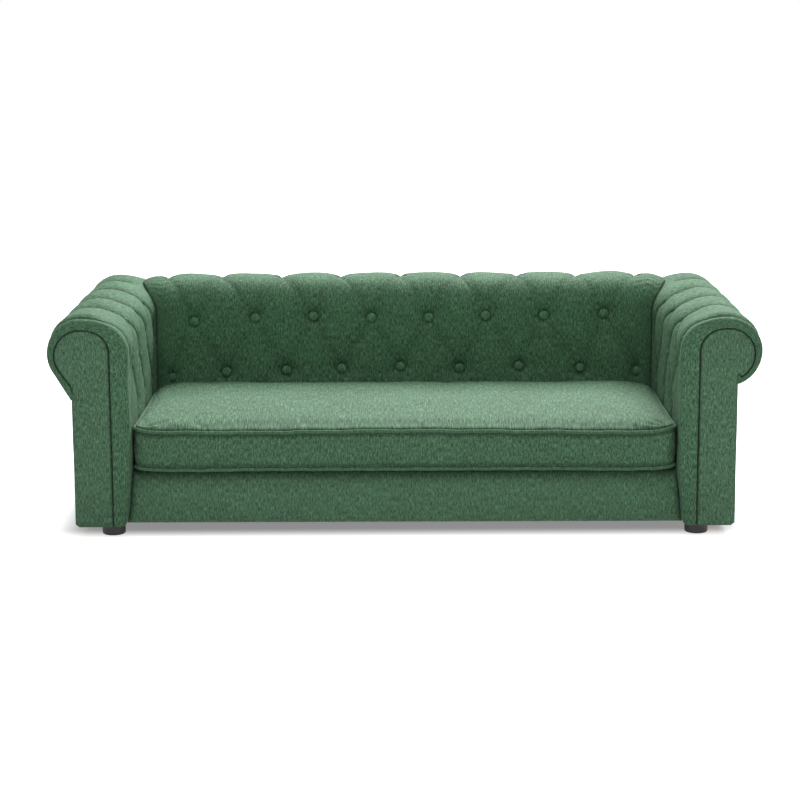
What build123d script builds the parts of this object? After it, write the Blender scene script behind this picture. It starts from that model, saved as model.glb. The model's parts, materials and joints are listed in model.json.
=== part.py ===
"""A pet-size rolled-arm sofa bed: bolted timber frame, button-tufted pads and a loose zipped cushion.

The frame has its origin on the floor under the middle of the sofa, +X to the right seen from the front,
+Y to the rear and +Z up. Every size is in millimetres.
"""

import os
from dataclasses import dataclass
from dataclasses import replace
from math import acos, atan2, cos, degrees, floor, hypot, pi, radians, sin, sqrt

from build123d import *

# Driving sizes
overall_width = 1200.0
overall_depth = 560.0
arm_top = 383.0
back_top = 395.0
floor_gap = 25.0
deck_height = 117.0

# Sheet, board and clearance sizes
board = 18.0
ply = 9.0
hardboard = 3.0
panel = 4.0
cloth = 1.2
facing = 8.0
facing_setback = 1.0
facing_round = 2.5
end_facing = 4.0
cover_drop = 2.0
fit_gap = 0.3
soft_gap = 1.5
overrun = 1.0

# Rolled outline of the arms, as distances out from the inner face
arm_thickness = 136.0
post_width = 97.0
roll_radius = 59.0
turn_radius = 130.0
shoulder_drop = 58.0
pad_thickness = 28.0
crest_pad = 17.0
core_turn_radius = 80.0
ledge = 10.0

# Tufting, with row heights measured up from the deck along the pad
pleat_pitch = 109.0
tuft_depth = 12.0
pleat_depth = 7.0
roll_pleat = 4.5
roll_flat = 0.4
end_pleat = 1.5
least_bow = 0.05
lean_share = 0.25
button_radius = 9.0
button_edge = 2.6
button_dome = 3.2
button_flat = 1.5
button_gap = 0.4
seat_dome = 0.5
arm_low_row = 98.0
arm_middle_row = 182.0
back_low_row = 100.0
back_middle_row = 200.0
crest_row_back = 8.0
pleat_steps = 3
arm_first_pleat = 146.0
arm_least_end = 50.0
back_least_end = 25.0
band_width = 18.0
band_crease = 3.5
edge_round = 8.0
edge_steps = 3
back_end_inset = 18.0
back_end_steps = 4
cheek_reach = 34.0
cheek_steps = 5
cheek_foot = 330.0

# Base
base_setback = 24.0
front_pad = 12.0
front_pad_round = 5.0
bearer_spacing = 310.0
bearer_height = 48.0
corner_block = 50.0
dust_margin = 3.0

# Rails inside the arms and back
top_rail_width = 30.0
top_rail_drop = 8.0
inner_rail_rise = 45.0
outer_rail_height = 42.0
outer_rail_drop = 4.0

# Loose cushion
cushion_setback = 14.0
cushion_rear_gap = 4.0
welt_radius = 3.0
welt_stand = 1.0
boxing_height = 66.0
boxing_draw = 4.0
boxing_flat = 32.0
cushion_corner = 44.0
cushion_hem = 3.6
hem_inset = 5.0
crown_height = 15.0
crown_reach_share = 0.37
crown_steps = 7
least_corner_share = 0.4
cover_cloth = 1.5
core_gap = 0.3

# Cushion zip
zip_length = 780.0
zip_tape_height = 28.0
zip_tape = 1.0
zip_neck = 3.0
zip_coil_width = 6.0
zip_coil = 2.0
zip_stop = 6.0
slider_length = 11.0
slider_wall = 1.2
slider_lip = 0.9
slider_gap = 0.3

# Feet and fasteners
foot_radius = 20.0
foot_round = 3.0
foot_inset = 62.0
foot_offset = 39.0
foot_bore_radius = 2.8
foot_counterbore_radius = 6.5
foot_counterbore_depth = 15.0
screw_head_radius = 5.0
screw_head = 3.5
screw_radius = 2.5
screw_bite = 15.0
screw_gap = 0.15
bolt_radius = 3.0
bolt_hole_gap = 0.3
bolt_head_radius = 7.0
bolt_head = 3.0
washer_radius = 9.0
washer = 1.5
nut_flange_radius = 9.5
nut_flange = 1.5
nut_barrel_radius = 4.2
nut_barrel = 9.0
bolt_proud = 3.0
bolt_height = 78.0
arm_bolt_places = (-150.0, 85.0)
back_bolt_places = (-330.0, -110.0, 110.0, 330.0)

# Places worked out from the sizes above
half_width = overall_width / 2
half_depth = overall_depth / 2
arm_face = half_width - arm_thickness
back_face = half_depth - arm_thickness
frame_bottom = floor_gap + cover_drop
cloth_top = deck_height + cloth
pad_foot = cloth_top + fit_gap
crest_out = arm_thickness - roll_radius
half_pitch = pleat_pitch / 2
rail_face = arm_face + pad_thickness + hardboard
back_half = arm_face - soft_gap
arm_pleats = 1 + floor((overall_depth - arm_first_pleat - arm_least_end) / pleat_pitch)
back_pleats = 1 + 2 * floor((back_half - back_least_end) / pleat_pitch)
base_front = base_setback + front_pad - half_depth
base_rear = back_face + pad_thickness + hardboard
board_front = facing - half_depth
core_side = post_width - panel

os.makedirs("parts", exist_ok=True)


def write(shape, name):
    """Labels a finished piece and writes it as its own node."""
    shape.label = name
    export_step(shape, f"parts/{name}.step")


def write_pair(shape, name):
    """Writes a right-hand piece and its mirror image on the left."""
    write(shape, name.format("right"))
    write(mirror(shape, about=Plane.YZ), name.format("left"))


@dataclass
class Scroll:
    """A rolled outline: out from the inner face, and up from the floor."""

    face: float
    shoulder: float
    top: float
    turn: float
    roll: float
    side: float

    def inset(self, depth):
        """The same outline drawn in by depth, with every arc concentric."""
        return replace(
            self,
            face=self.face + depth,
            top=self.top - depth,
            turn=self.turn - depth,
            roll=self.roll - depth,
        )

    def joint(self):
        """The point where the long shoulder arc turns into the tight one."""
        across = crest_out - self.face
        rise = self.top - self.turn - self.shoulder
        long_radius = (across**2 + rise**2 - self.turn**2) / (2 * (across - self.turn))
        reach = long_radius - self.turn
        return (
            self.face + long_radius - long_radius * (long_radius - across) / reach,
            self.shoulder + long_radius * rise / reach,
        )

    def side_angle(self):
        """How far below level the roll meets the outer side, in degrees."""
        return degrees(acos((self.side - crest_out) / self.roll))

    def side_height(self):
        """The height where the roll meets the outer side."""
        return self.top - self.roll - sqrt(self.roll**2 - (self.side - crest_out) ** 2)


def draw_scroll(outline, foot):
    """Draws the open outline from the foot of the inner face, over the roll, to the outer side."""
    centre = (crest_out, outline.top - outline.roll)
    rise = Line((outline.face, foot), (outline.face, outline.shoulder))
    long_arc = TangentArc(rise @ 1, outline.joint(), tangent=rise % 1)
    TangentArc(long_arc @ 1, (crest_out, outline.top), tangent=long_arc % 1)
    CenterArc(centre, outline.roll, 90, -90)
    CenterArc(centre, outline.roll, 0, -outline.side_angle())


def sketch_scroll(outline, foot):
    """Fills the outline, closed down its outer side and along its foot."""
    with BuildLine() as drawn:
        draw_scroll(outline, foot)
        Polyline(
            (outline.side, outline.side_height()),
            (outline.side, foot),
            (outline.face, foot),
        )
    make_face(drawn.edges())


def arm_plane(y):
    """A plane across the right arm: local X out from its inner face, local Y up, normal to the front."""
    return Plane(origin=(arm_face, y, 0), x_dir=(1, 0, 0), z_dir=(0, -1, 0))


def back_plane(x):
    """A plane across the back: local X to the rear from its inner face, local Y up, normal to the right."""
    return Plane(origin=(x, back_face, 0), x_dir=(0, 1, 0), z_dir=(1, 0, 0))


arm_pad_outline = Scroll(
    face=0,
    shoulder=arm_top - shoulder_drop,
    top=arm_top,
    turn=turn_radius,
    roll=roll_radius,
    side=post_width + fit_gap,
)
arm_core_outline = Scroll(
    face=pad_thickness,
    shoulder=arm_top - shoulder_drop,
    top=arm_top - crest_pad,
    turn=core_turn_radius,
    roll=roll_radius - crest_pad,
    side=post_width,
)
rise_of_back = back_top - arm_top
back_pad_outline = replace(
    arm_pad_outline, shoulder=arm_pad_outline.shoulder + rise_of_back, top=back_top
)
back_core_outline = replace(
    arm_core_outline,
    shoulder=arm_core_outline.shoulder + rise_of_back,
    top=arm_core_outline.top + rise_of_back,
)


class PadPath:
    """A pad's outer outline, with distances measured up it from the deck, and the cavity for its frame."""

    def __init__(self, outline, core, low_row, middle_row):
        with BuildLine() as path:
            draw_scroll(outline, pad_foot)
        self.outline = outline
        self.cavity = replace(core.inset(-fit_gap), side=outline.side)
        self.wire = path.wire()
        self.length = self.wire.length
        self.widest = self.length - radians(outline.side_angle()) * outline.roll
        crest = self.widest - pi / 2 * outline.roll
        self.low, self.middle, self.top = low_row, middle_row, crest - crest_row_back

    def at(self, distance, depth):
        """The point that lies depth under the outline, a distance along it."""
        if distance == self.length:
            return (self.outline.side, self.outline.inset(depth).side_height())
        on = self.wire.position_at(distance, position_mode=PositionMode.LENGTH)
        along = self.wire.tangent_at(distance, position_mode=PositionMode.LENGTH)
        return (on.X + along.Y * depth, on.Y - along.X * depth)

    def seat(self, plane, distance):
        """The plane under a button on one cross plane, facing out of the pad."""
        out, up = self.at(distance, tuft_depth)
        along = self.wire.tangent_at(distance, position_mode=PositionMode.LENGTH)
        return Plane(
            origin=plane.origin + plane.x_dir * out + plane.y_dir * up,
            x_dir=plane.z_dir,
            z_dir=plane.y_dir * along.X - plane.x_dir * along.Y,
        )

    def draw_section(self, turn, strength, inset, skirt=None):
        """Draws one section of the pad.

        Turn runs from 0, through a low and a crest button, to 1, through a middle one. Strength fades the
        tufts, inset draws the outside in, and skirt is the lower end of a pad that runs on below the deck.
        """
        swell = sin(turn * pi / 2) ** 2
        fade = strength * (1 - swell)
        button = tuft_depth * strength
        fold = button - (tuft_depth - pleat_depth) * strength * sin(turn * pi)
        seat = button - seat_dome
        low_corner = self.low + button_radius
        top_corner = self.top - button_radius
        low_corner += (self.middle - self.low - 2 * button_radius) * turn
        top_corner -= (self.top - self.middle - 2 * button_radius) * turn
        corners = (
            (0, end_pleat * fade),
            (self.low - button_radius, tuft_depth * fade + roll_flat),
            (low_corner, fold),
            (top_corner, fold),
            (self.top + button_radius, tuft_depth * fade),
            (self.widest, roll_pleat * fade + roll_flat),
            (self.length, 0),
        )
        lean = seat * (1 - swell) + button * swell * lean_share
        crowns = (end_pleat * fade, lean, seat * swell, lean, roll_pleat * fade, 0)
        points = [self.at(distance, depth + inset) for distance, depth in corners]
        foot = pad_foot
        with BuildLine() as drawn:
            if skirt:
                foot = skirt[1]
                points.insert(0, (skirt[0] + inset, foot))
                Line(points[0], points[1])
            for (low, _), (high, _), crown, start, end in zip(
                corners, corners[1:], crowns, points[-len(corners) :], points[-len(crowns) :]
            ):
                bow(start, self.at((low + high) / 2, crown + inset), end)
            draw_scroll(self.cavity, foot)
            Line(points[0], (self.cavity.face, foot))
            Line(points[-1], (self.cavity.side, self.cavity.side_height()))
        make_face(drawn.edges())


def bow(start, middle, end):
    """An arc through three points, or a line where they are nearly straight."""
    chord = hypot(end[0] - start[0], end[1] - start[1])
    rise = (end[0] - start[0]) * (middle[1] - start[1]) - (end[1] - start[1]) * (middle[0] - start[0])
    if abs(rise) / chord < least_bow:
        Line(start, end)
    else:
        ThreePointArc(start, middle, end)


def block(low, high, mode=Mode.ADD):
    """A square-edged block between its lowest and highest corners."""
    with Locations(low):
        Box(*(b - a for a, b in zip(low, high)), align=(Align.MIN, Align.MIN, Align.MIN), mode=mode)


def rod(seat, radius, start, end, mode=Mode.ADD):
    """A round bar along a seat's axis, between two distances from the seat."""
    with Locations(seat.offset(start)):
        Cylinder(radius, end - start, align=(Align.CENTER, Align.CENTER, Align.MIN), mode=mode)


def scroll_board(plane, outline, foot, thickness):
    """A flat board cut to the rolled outline."""
    with BuildPart() as cut_board:
        with BuildSketch(plane):
            sketch_scroll(outline, foot)
        extrude(amount=thickness)
    return cut_board.part


def scroll_facing(plane, outline, foot, thickness):
    """A padded panel in the rolled outline, its front edge rounded."""
    with BuildPart() as cut_facing:
        with BuildSketch(plane):
            sketch_scroll(outline, foot)
        extrude(amount=thickness)
        front = cut_facing.faces().sort_by(Axis(plane.origin, plane.z_dir))[-1]
        fillet(front.edges(), facing_round)
    return cut_facing.part


def bent_skin(plane, core, length):
    """The bent sheet between the boards and the pad."""
    inner = core.inset(hardboard)
    with BuildPart() as skin:
        with BuildSketch(plane):
            with BuildLine():
                draw_scroll(core, pad_foot)
                draw_scroll(inner, pad_foot)
                Line((core.face, pad_foot), (inner.face, pad_foot))
                Line((core.side, core.side_height()), (inner.side, inner.side_height()))
            make_face()
        extrude(amount=length)
    return skin.part


arm_path = PadPath(arm_pad_outline, arm_core_outline, arm_low_row, arm_middle_row)
back_path = PadPath(back_pad_outline, back_core_outline, back_low_row, back_middle_row)

# Covered button, its flat back on the XY plane
button_top = button_edge + button_dome
with BuildPart() as button:
    with BuildSketch(Plane.XZ):
        with BuildLine():
            Polyline(
                (button_flat, button_top),
                (0, button_top),
                (0, 0),
                (button_radius, 0),
                (button_radius, button_edge),
            )
            JernArc(
                start=(button_flat, button_top),
                tangent=(1, 0),
                radius=((button_radius - button_flat) ** 2 + button_dome**2) / (2 * button_dome),
                arc_size=-2 * degrees(atan2(button_dome, button_radius - button_flat)),
            )
        make_face()
    revolve(axis=Axis.Z)


def make_buttons(seats):
    """A row of buttons, each just clear of its pocket's floor."""
    with BuildPart() as buttons:
        with Locations(*(Location(seat.offset(fit_gap)) for seat in seats)):
            add(button.part)
    return buttons.part


def cut_pockets(seats):
    """Cuts the round pockets that the buttons are drawn into."""
    for seat in seats:
        rod(seat, button_radius + button_gap, 0, tuft_depth + overrun, mode=Mode.SUBTRACT)


# Joints between the base and what is bolted to it, each facing out of the base
arm_bolt_seats = [
    Plane(origin=(side * rail_face, y, bolt_height), z_dir=(side, 0, 0))
    for side in (1, -1)
    for y in arm_bolt_places
]
back_bolt_seats = [
    Plane(origin=(x, base_rear, bolt_height), z_dir=(0, 1, 0)) for x in back_bolt_places
]


def cut_bolt_holes(seats):
    """Bolt holes through a rail on the base's side of the joint."""
    for seat in seats:
        rod(seat, bolt_radius + bolt_hole_gap, -board - overrun, overrun, mode=Mode.SUBTRACT)


def cut_nut_holes(seats):
    """Bolt holes through a rail on the far side of the joint, opened out for the nuts' barrels."""
    barrel_end = board - nut_barrel - bolt_hole_gap
    for seat in seats:
        rod(seat, bolt_radius + bolt_hole_gap, -overrun, board + overrun, mode=Mode.SUBTRACT)
        rod(seat, nut_barrel_radius + bolt_hole_gap, barrel_end, board + overrun, mode=Mode.SUBTRACT)


# Right arm: boards, rails and skin, each mirrored for the left
arm_board_outline = replace(arm_core_outline.inset(hardboard), side=core_side)
arm_rails_front = board_front + board
arm_rails_rear = -arm_rails_front
inner_rail_out = rail_face + board
side_out = arm_face + core_side

arm_front_board = scroll_board(arm_plane(arm_rails_front), arm_board_outline, frame_bottom, board)
write_pair(arm_front_board, "{}_arm_front_board")
arm_rear_board = scroll_board(arm_plane(-board_front), arm_board_outline, frame_bottom, board)
write_pair(arm_rear_board, "{}_arm_rear_board")

foot_seats = [
    Plane(origin=(arm_face + foot_offset, side * (half_depth - foot_inset), frame_bottom))
    for side in (-1, 1)
]

with BuildPart() as arm_bottom_board:
    block(
        (rail_face, arm_rails_front, frame_bottom),
        (side_out, arm_rails_rear, frame_bottom + board),
    )
    for seat in foot_seats:
        rod(seat, screw_radius + screw_gap, -overrun, screw_bite + overrun, mode=Mode.SUBTRACT)
write_pair(arm_bottom_board.part, "{}_arm_bottom_board")

with BuildPart() as arm_inner_rail:
    block(
        (rail_face, arm_rails_front, frame_bottom + board),
        (inner_rail_out, arm_rails_rear, deck_height + inner_rail_rise),
    )
    cut_nut_holes(arm_bolt_seats[: len(arm_bolt_places)])
write_pair(arm_inner_rail.part, "{}_arm_inner_rail")

arm_crest = arm_face + crest_out
top_rail_half = top_rail_width / 2
top_rail_sink = crest_pad + top_rail_drop
with BuildPart() as arm_top_rail:
    block(
        (arm_crest - top_rail_half, arm_rails_front, arm_top - top_rail_sink - board),
        (arm_crest + top_rail_half, arm_rails_rear, arm_top - top_rail_sink),
    )
write_pair(arm_top_rail.part, "{}_arm_top_rail")

outer_rail_top = arm_board_outline.side_height() - outer_rail_drop
with BuildPart() as arm_outer_rail:
    block(
        (side_out - board, arm_rails_front, outer_rail_top - outer_rail_height),
        (side_out, arm_rails_rear, outer_rail_top),
    )
write_pair(arm_outer_rail.part, "{}_arm_outer_rail")

arm_skin_outline = replace(arm_core_outline, side=core_side)
write_pair(bent_skin(arm_plane(-board_front), arm_skin_outline, -2 * board_front), "{}_arm_skin")

with BuildPart() as arm_outer_panel:
    block(
        (side_out, board_front, floor_gap),
        (side_out + panel, -board_front, arm_skin_outline.side_height() - fit_gap),
    )
write_pair(arm_outer_panel.part, "{}_arm_outer_panel")

arm_facing_outline = replace(arm_core_outline, side=post_width)
write_pair(
    scroll_facing(arm_plane(board_front), arm_facing_outline, floor_gap, facing - facing_setback),
    "{}_arm_front_facing",
)
rear_plane = Plane(origin=(arm_face, -board_front, 0), x_dir=(1, 0, 0), z_dir=(0, -1, 0))
with BuildPart() as arm_rear_facing:
    with BuildSketch(rear_plane):
        sketch_scroll(arm_facing_outline, floor_gap)
    extrude(amount=facing_setback - facing)
    fillet(arm_rear_facing.faces().sort_by(Axis.Y)[-1].edges(), facing_round)
write_pair(arm_rear_facing.part, "{}_arm_rear_facing")


# Tufted arm pads
def arm_stations():
    """Places along an arm pad: distance behind its front, turn, strength and inset."""
    first_middle = arm_first_pleat - half_pitch
    last_pleat = arm_first_pleat + (arm_pleats - 1) * pleat_pitch
    rear_edge = overall_depth - edge_round
    step = half_pitch / pleat_steps
    rounding = [
        (edge_round * (1 - cos(angle)), edge_round * (1 - sin(angle)))
        for angle in (i * pi / 2 / edge_steps for i in range(edge_steps + 1))
    ]
    for place, inset in rounding:
        yield place, 1, 0, inset
    yield band_width, 1, 0, band_crease
    for i in range(pleat_steps, 0, -1):
        place = first_middle - i * step
        yield place, 1 - i / pleat_steps, (place - band_width) / (first_middle - band_width), 0
    for i in range((2 * arm_pleats - 1) * pleat_steps + 1):
        yield first_middle + i * step, abs(1 - i / pleat_steps % 2), 1, 0
    for i in range(1, pleat_steps + 1):
        place = last_pleat + i * step
        yield place, i / pleat_steps, (rear_edge - place) / (rear_edge - last_pleat), 0
    for place, inset in reversed(rounding):
        yield overall_depth - place, 1, 0, inset


arm_pleat_places = [arm_first_pleat + i * pleat_pitch - half_depth for i in range(arm_pleats)]
arm_button_seats = [
    arm_path.seat(arm_plane(y - shift), row)
    for row, shift in ((arm_path.low, 0), (arm_path.middle, half_pitch))
    for y in arm_pleat_places
]

with BuildPart() as arm_pad:
    for place, turn, strength, inset in arm_stations():
        with BuildSketch(arm_plane(place - half_depth)):
            arm_path.draw_section(turn, strength, inset, skirt=(ledge, floor_gap))
    loft(ruled=True)
    block((0, -half_depth, pad_foot), (arm_face, half_depth, back_top), mode=Mode.SUBTRACT)
    block(
        (arm_face - overrun, base_front - fit_gap, floor_gap - overrun),
        (rail_face, base_rear + fit_gap, pad_foot),
        mode=Mode.SUBTRACT,
    )
    cut_pockets(arm_button_seats)
    rod(foot_seats[1], foot_radius + fit_gap, -cover_drop - overrun, fit_gap, mode=Mode.SUBTRACT)
write_pair(arm_pad.part, "{}_arm_tufted_pad")
write_pair(make_buttons(arm_button_seats), "{}_arm_buttons")

# Back: boards, rails, skin and panels
back_board_outline = replace(back_core_outline.inset(hardboard), side=core_side)
back_skin_outline = replace(back_core_outline, side=core_side)
back_board_out = back_half - end_facing
back_rail_half = back_board_out - board
back_side_out = back_face + core_side

back_end_board = scroll_board(back_plane(back_rail_half), back_board_outline, frame_bottom, board)
write_pair(back_end_board, "back_{}_end_board")

with BuildPart() as back_foot_rail:
    block((-back_rail_half, base_rear, frame_bottom), (back_rail_half, base_rear + board, deck_height))
    cut_nut_holes(back_bolt_seats)
write(back_foot_rail.part, "back_foot_rail")

with BuildPart() as back_seat_rail:
    block(
        (-back_rail_half, base_rear, deck_height),
        (back_rail_half, base_rear + board, deck_height + inner_rail_rise),
    )
write(back_seat_rail.part, "back_seat_rail")

back_crest = back_face + crest_out
with BuildPart() as back_top_rail:
    block(
        (-back_rail_half, back_crest - top_rail_half, back_top - top_rail_sink - board),
        (back_rail_half, back_crest + top_rail_half, back_top - top_rail_sink),
    )
write(back_top_rail.part, "back_top_rail")

back_rail_top = back_board_outline.side_height() - outer_rail_drop
with BuildPart() as back_outer_rails:
    block(
        (-back_rail_half, back_side_out - board, back_rail_top - outer_rail_height),
        (back_rail_half, back_side_out, back_rail_top),
    )
    block(
        (-back_rail_half, back_side_out - board, frame_bottom),
        (back_rail_half, back_side_out, frame_bottom + outer_rail_height),
    )
write(back_outer_rails.part, "back_outer_rails")

write(bent_skin(back_plane(-back_board_out), back_skin_outline, 2 * back_board_out), "back_skin")

with BuildPart() as back_rear_panel:
    block(
        (-back_board_out, back_side_out, floor_gap),
        (back_board_out, back_side_out + panel, back_skin_outline.side_height() - fit_gap),
    )
write(back_rear_panel.part, "back_rear_panel")

write_pair(
    scroll_facing(
        back_plane(back_board_out), replace(back_core_outline, side=post_width), pad_foot, end_facing
    ),
    "back_{}_end_facing",
)


# Tufted back pad
def end_inset(place):
    """How far the back's outline is drawn in near its end, a distance from the back's middle."""
    last_pleat = (back_pleats - 1) / 2 * pleat_pitch
    share = (place - last_pleat) / (back_half + cheek_reach - last_pleat)
    return back_end_inset * (1 - sqrt(1 - share**2))


def back_stations():
    """Places along the back pad: distance from its middle, turn, strength and inset."""
    last_pleat = (back_pleats - 1) / 2 * pleat_pitch
    step = half_pitch / pleat_steps
    ends = []
    for i in range(1, back_end_steps + 1):
        share = i / back_end_steps
        place = last_pleat + (back_half - last_pleat) * share
        ends.append((place, share / 2, 1 - share, end_inset(place)))
    for place, turn, strength, inset in reversed(ends):
        yield -place, turn, strength, inset
    for i in range(2 * (back_pleats - 1) * pleat_steps + 1):
        yield i * step - last_pleat, 1 - abs(1 - i / pleat_steps % 2), 1, 0
    yield from ends


back_pleat_places = [(i - (back_pleats - 1) / 2) * pleat_pitch for i in range(back_pleats)]
back_button_seats = [
    back_path.seat(back_plane(x + shift), row)
    for row, places, shift in (
        (back_path.low, back_pleat_places, 0),
        (back_path.middle, back_pleat_places[:-1], half_pitch),
        (back_path.top, back_pleat_places, 0),
    )
    for x in places
]

# Cheek that carries the back's right end out over the arm's shoulder
with BuildPart() as back_cheek:
    for i in range(cheek_steps + 1):
        cheek_place = back_half - overrun + (cheek_reach + overrun) * i / cheek_steps
        with BuildSketch(back_plane(cheek_place)):
            sketch_scroll(back_pad_outline.inset(end_inset(cheek_place)), pad_foot)
    loft(ruled=True)
    with BuildSketch(back_plane(back_half - 2 * overrun)):
        sketch_scroll(replace(back_path.cavity, side=back_pad_outline.side + overrun), pad_foot - overrun)
    extrude(amount=2 * overrun + fit_gap, mode=Mode.SUBTRACT)
    with BuildSketch(arm_plane(half_depth)):
        sketch_scroll(arm_pad_outline.inset(-soft_gap), floor_gap)
    extrude(amount=overall_depth, mode=Mode.SUBTRACT)
    block(
        (back_half - 2 * overrun, back_face - overrun, 0),
        (back_half + 2 * cheek_reach, half_depth + overrun, cheek_foot),
        mode=Mode.SUBTRACT,
    )

with BuildPart() as back_pad:
    for place, turn, strength, inset in back_stations():
        with BuildSketch(back_plane(place)):
            back_path.draw_section(turn, strength, inset)
    loft(ruled=True)
    block((-back_half, 0, pad_foot), (back_half, back_face, back_top), mode=Mode.SUBTRACT)
    add(back_cheek.part)
    add(mirror(back_cheek.part, about=Plane.YZ))
    cut_pockets(back_button_seats)
write(back_pad.part, "back_tufted_pad")
write(make_buttons(back_button_seats), "back_buttons")

# Base: rails, bearers, blocks, deck and covers
rail_top = deck_height - ply
front_rail_rear = base_front + board
rear_rail_front = base_rear - board
side_rail_in = rail_face - board

with BuildPart() as base_front_rail:
    block((-side_rail_in, base_front, frame_bottom), (side_rail_in, front_rail_rear, rail_top))
write(base_front_rail.part, "base_front_rail")

with BuildPart() as base_rear_rail:
    block((-side_rail_in, rear_rail_front, frame_bottom), (side_rail_in, base_rear, rail_top))
    cut_bolt_holes(back_bolt_seats)
write(base_rear_rail.part, "base_rear_rail")

with BuildPart() as base_side_rail:
    block((side_rail_in, base_front, frame_bottom), (rail_face, base_rear, rail_top))
    cut_bolt_holes(arm_bolt_seats[: len(arm_bolt_places)])
write_pair(base_side_rail.part, "base_{}_side_rail")

with BuildPart() as base_cross_bearers:
    for x in (-bearer_spacing, 0, bearer_spacing):
        block(
            (x - board / 2, front_rail_rear, rail_top - bearer_height),
            (x + board / 2, rear_rail_front, rail_top),
        )
write(base_cross_bearers.part, "base_cross_bearers")

with BuildPart() as base_corner_blocks:
    with BuildSketch(Plane.XY.offset(frame_bottom)):
        for x_side in (-1, 1):
            for corner_y, y_side in ((front_rail_rear, 1), (rear_rail_front, -1)):
                x, y = x_side * side_rail_in, corner_y
                with BuildLine():
                    Polyline(
                        (x, y),
                        (x - x_side * corner_block, y),
                        (x, y + y_side * corner_block),
                        close=True,
                    )
                make_face()
    extrude(amount=corner_block)
write(base_corner_blocks.part, "base_corner_blocks")

with BuildPart() as base_deck:
    block((-rail_face, base_front, rail_top), (rail_face, base_rear, deck_height))
write(base_deck.part, "base_deck")

with BuildPart() as deck_cloth:
    block((-rail_face, base_front, deck_height), (rail_face, base_rear, cloth_top))
write(deck_cloth.part, "deck_cloth")

with BuildPart() as base_front_pad:
    with BuildSketch(Plane.XZ.offset(-base_front)):
        with BuildLine():
            Polyline(
                (-arm_face - ledge + fit_gap, floor_gap),
                (arm_face + ledge - fit_gap, floor_gap),
                (arm_face - fit_gap, cloth_top),
                (-arm_face + fit_gap, cloth_top),
                close=True,
            )
        make_face()
    extrude(amount=front_pad)
    fillet(base_front_pad.faces().sort_by(Axis.Y)[0].edges(), front_pad_round)
write(base_front_pad.part, "base_front_pad")

dust_half = arm_face + foot_offset - foot_radius - dust_margin
with BuildPart() as dust_cover:
    block((-dust_half, base_front, frame_bottom - cloth), (dust_half, base_rear, frame_bottom))
write(dust_cover.part, "base_dust_cover")

with BuildPart() as back_dust_cover:
    block(
        (-back_board_out, base_rear, frame_bottom - cloth),
        (back_board_out, back_side_out, frame_bottom),
    )
write(back_dust_cover.part, "back_dust_cover")

# Loose cushion, its outer limits set by the welts
cushion_out = arm_face - soft_gap
cushion_front = cushion_setback - half_depth
cushion_rear = back_face - cushion_rear_gap
cushion_mid = (cushion_front + cushion_rear) / 2
cushion_deep = cushion_rear - cushion_front
crown_reach = cushion_deep * crown_reach_share
lower_welt = pad_foot + cushion_hem
upper_welt = lower_welt + boxing_height
boxing_inset = welt_radius + welt_stand
groove_inset = welt_radius + hem_inset
drawn_inset = boxing_inset + boxing_draw
flat_low = lower_welt + (boxing_height - boxing_flat) / 2
flat_high = flat_low + boxing_flat


def crown(inset, height):
    """Levels up the crowned top, from its edge to its middle: height and inset."""
    for i in range(crown_steps + 1):
        angle = i * pi / 2 / crown_steps
        yield height + crown_height * sin(angle), inset + crown_reach * (1 - cos(angle))


def cushion_form(levels):
    """A cushion lofted up through rounded rectangles."""
    with BuildPart() as form:
        for height, inset in levels:
            with BuildSketch(Plane.XY.offset(height)):
                with Locations((0, cushion_mid)):
                    RectangleRounded(
                        2 * (cushion_out - inset),
                        cushion_deep - 2 * inset,
                        max(cushion_corner - inset, cushion_corner * least_corner_share),
                    )
        loft(ruled=True)
    return form.part


def inner_levels(skin):
    """Levels of a plain form that lies skin under the cover's outside."""
    inset = groove_inset + skin
    yield pad_foot + skin, inset
    yield from crown(inset, upper_welt + cushion_hem - skin)


outer_levels = [
    (pad_foot, boxing_inset),
    (lower_welt, groove_inset),
    (lower_welt + cushion_hem, boxing_inset),
    (flat_low, drawn_inset),
    (flat_high, drawn_inset),
    (upper_welt - cushion_hem, boxing_inset),
    (upper_welt, groove_inset),
    *crown(boxing_inset, upper_welt + cushion_hem),
]

with BuildPart() as cushion_cover:
    add(cushion_form(outer_levels))
    add(cushion_form(inner_levels(cover_cloth)), mode=Mode.SUBTRACT)
write(cushion_cover.part, "cushion_cover")
write(cushion_form(inner_levels(cover_cloth + core_gap)), "cushion_foam_core")

with BuildPart() as cushion_welts:
    for height in (lower_welt, upper_welt):
        with BuildSketch(Plane.XY.offset(height), mode=Mode.PRIVATE) as welt_plan:
            with Locations((0, cushion_mid)):
                RectangleRounded(
                    2 * (cushion_out - welt_radius),
                    cushion_deep - 2 * welt_radius,
                    cushion_corner - welt_radius,
                )
        welt_line = welt_plan.sketch.face().outer_wire()
        with BuildSketch(Plane(origin=welt_line @ 0, z_dir=welt_line % 0)):
            Circle(welt_radius)
        sweep(path=welt_line)
write(cushion_welts.part, "cushion_welts")

# Cushion zip, on the drawn-in rear side
zip_mid = (flat_low + flat_high) / 2
tape_face = cushion_rear - drawn_inset
tape_top = tape_face + zip_tape
coil_foot = tape_top + 2 * slider_gap + slider_lip
coil_top = coil_foot + zip_coil
half_zip = zip_length / 2
half_coil = zip_coil_width / 2
slider_half = half_coil + slider_gap + slider_wall

half_tape = zip_tape_height / 2
half_neck = zip_neck / 2

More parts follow.
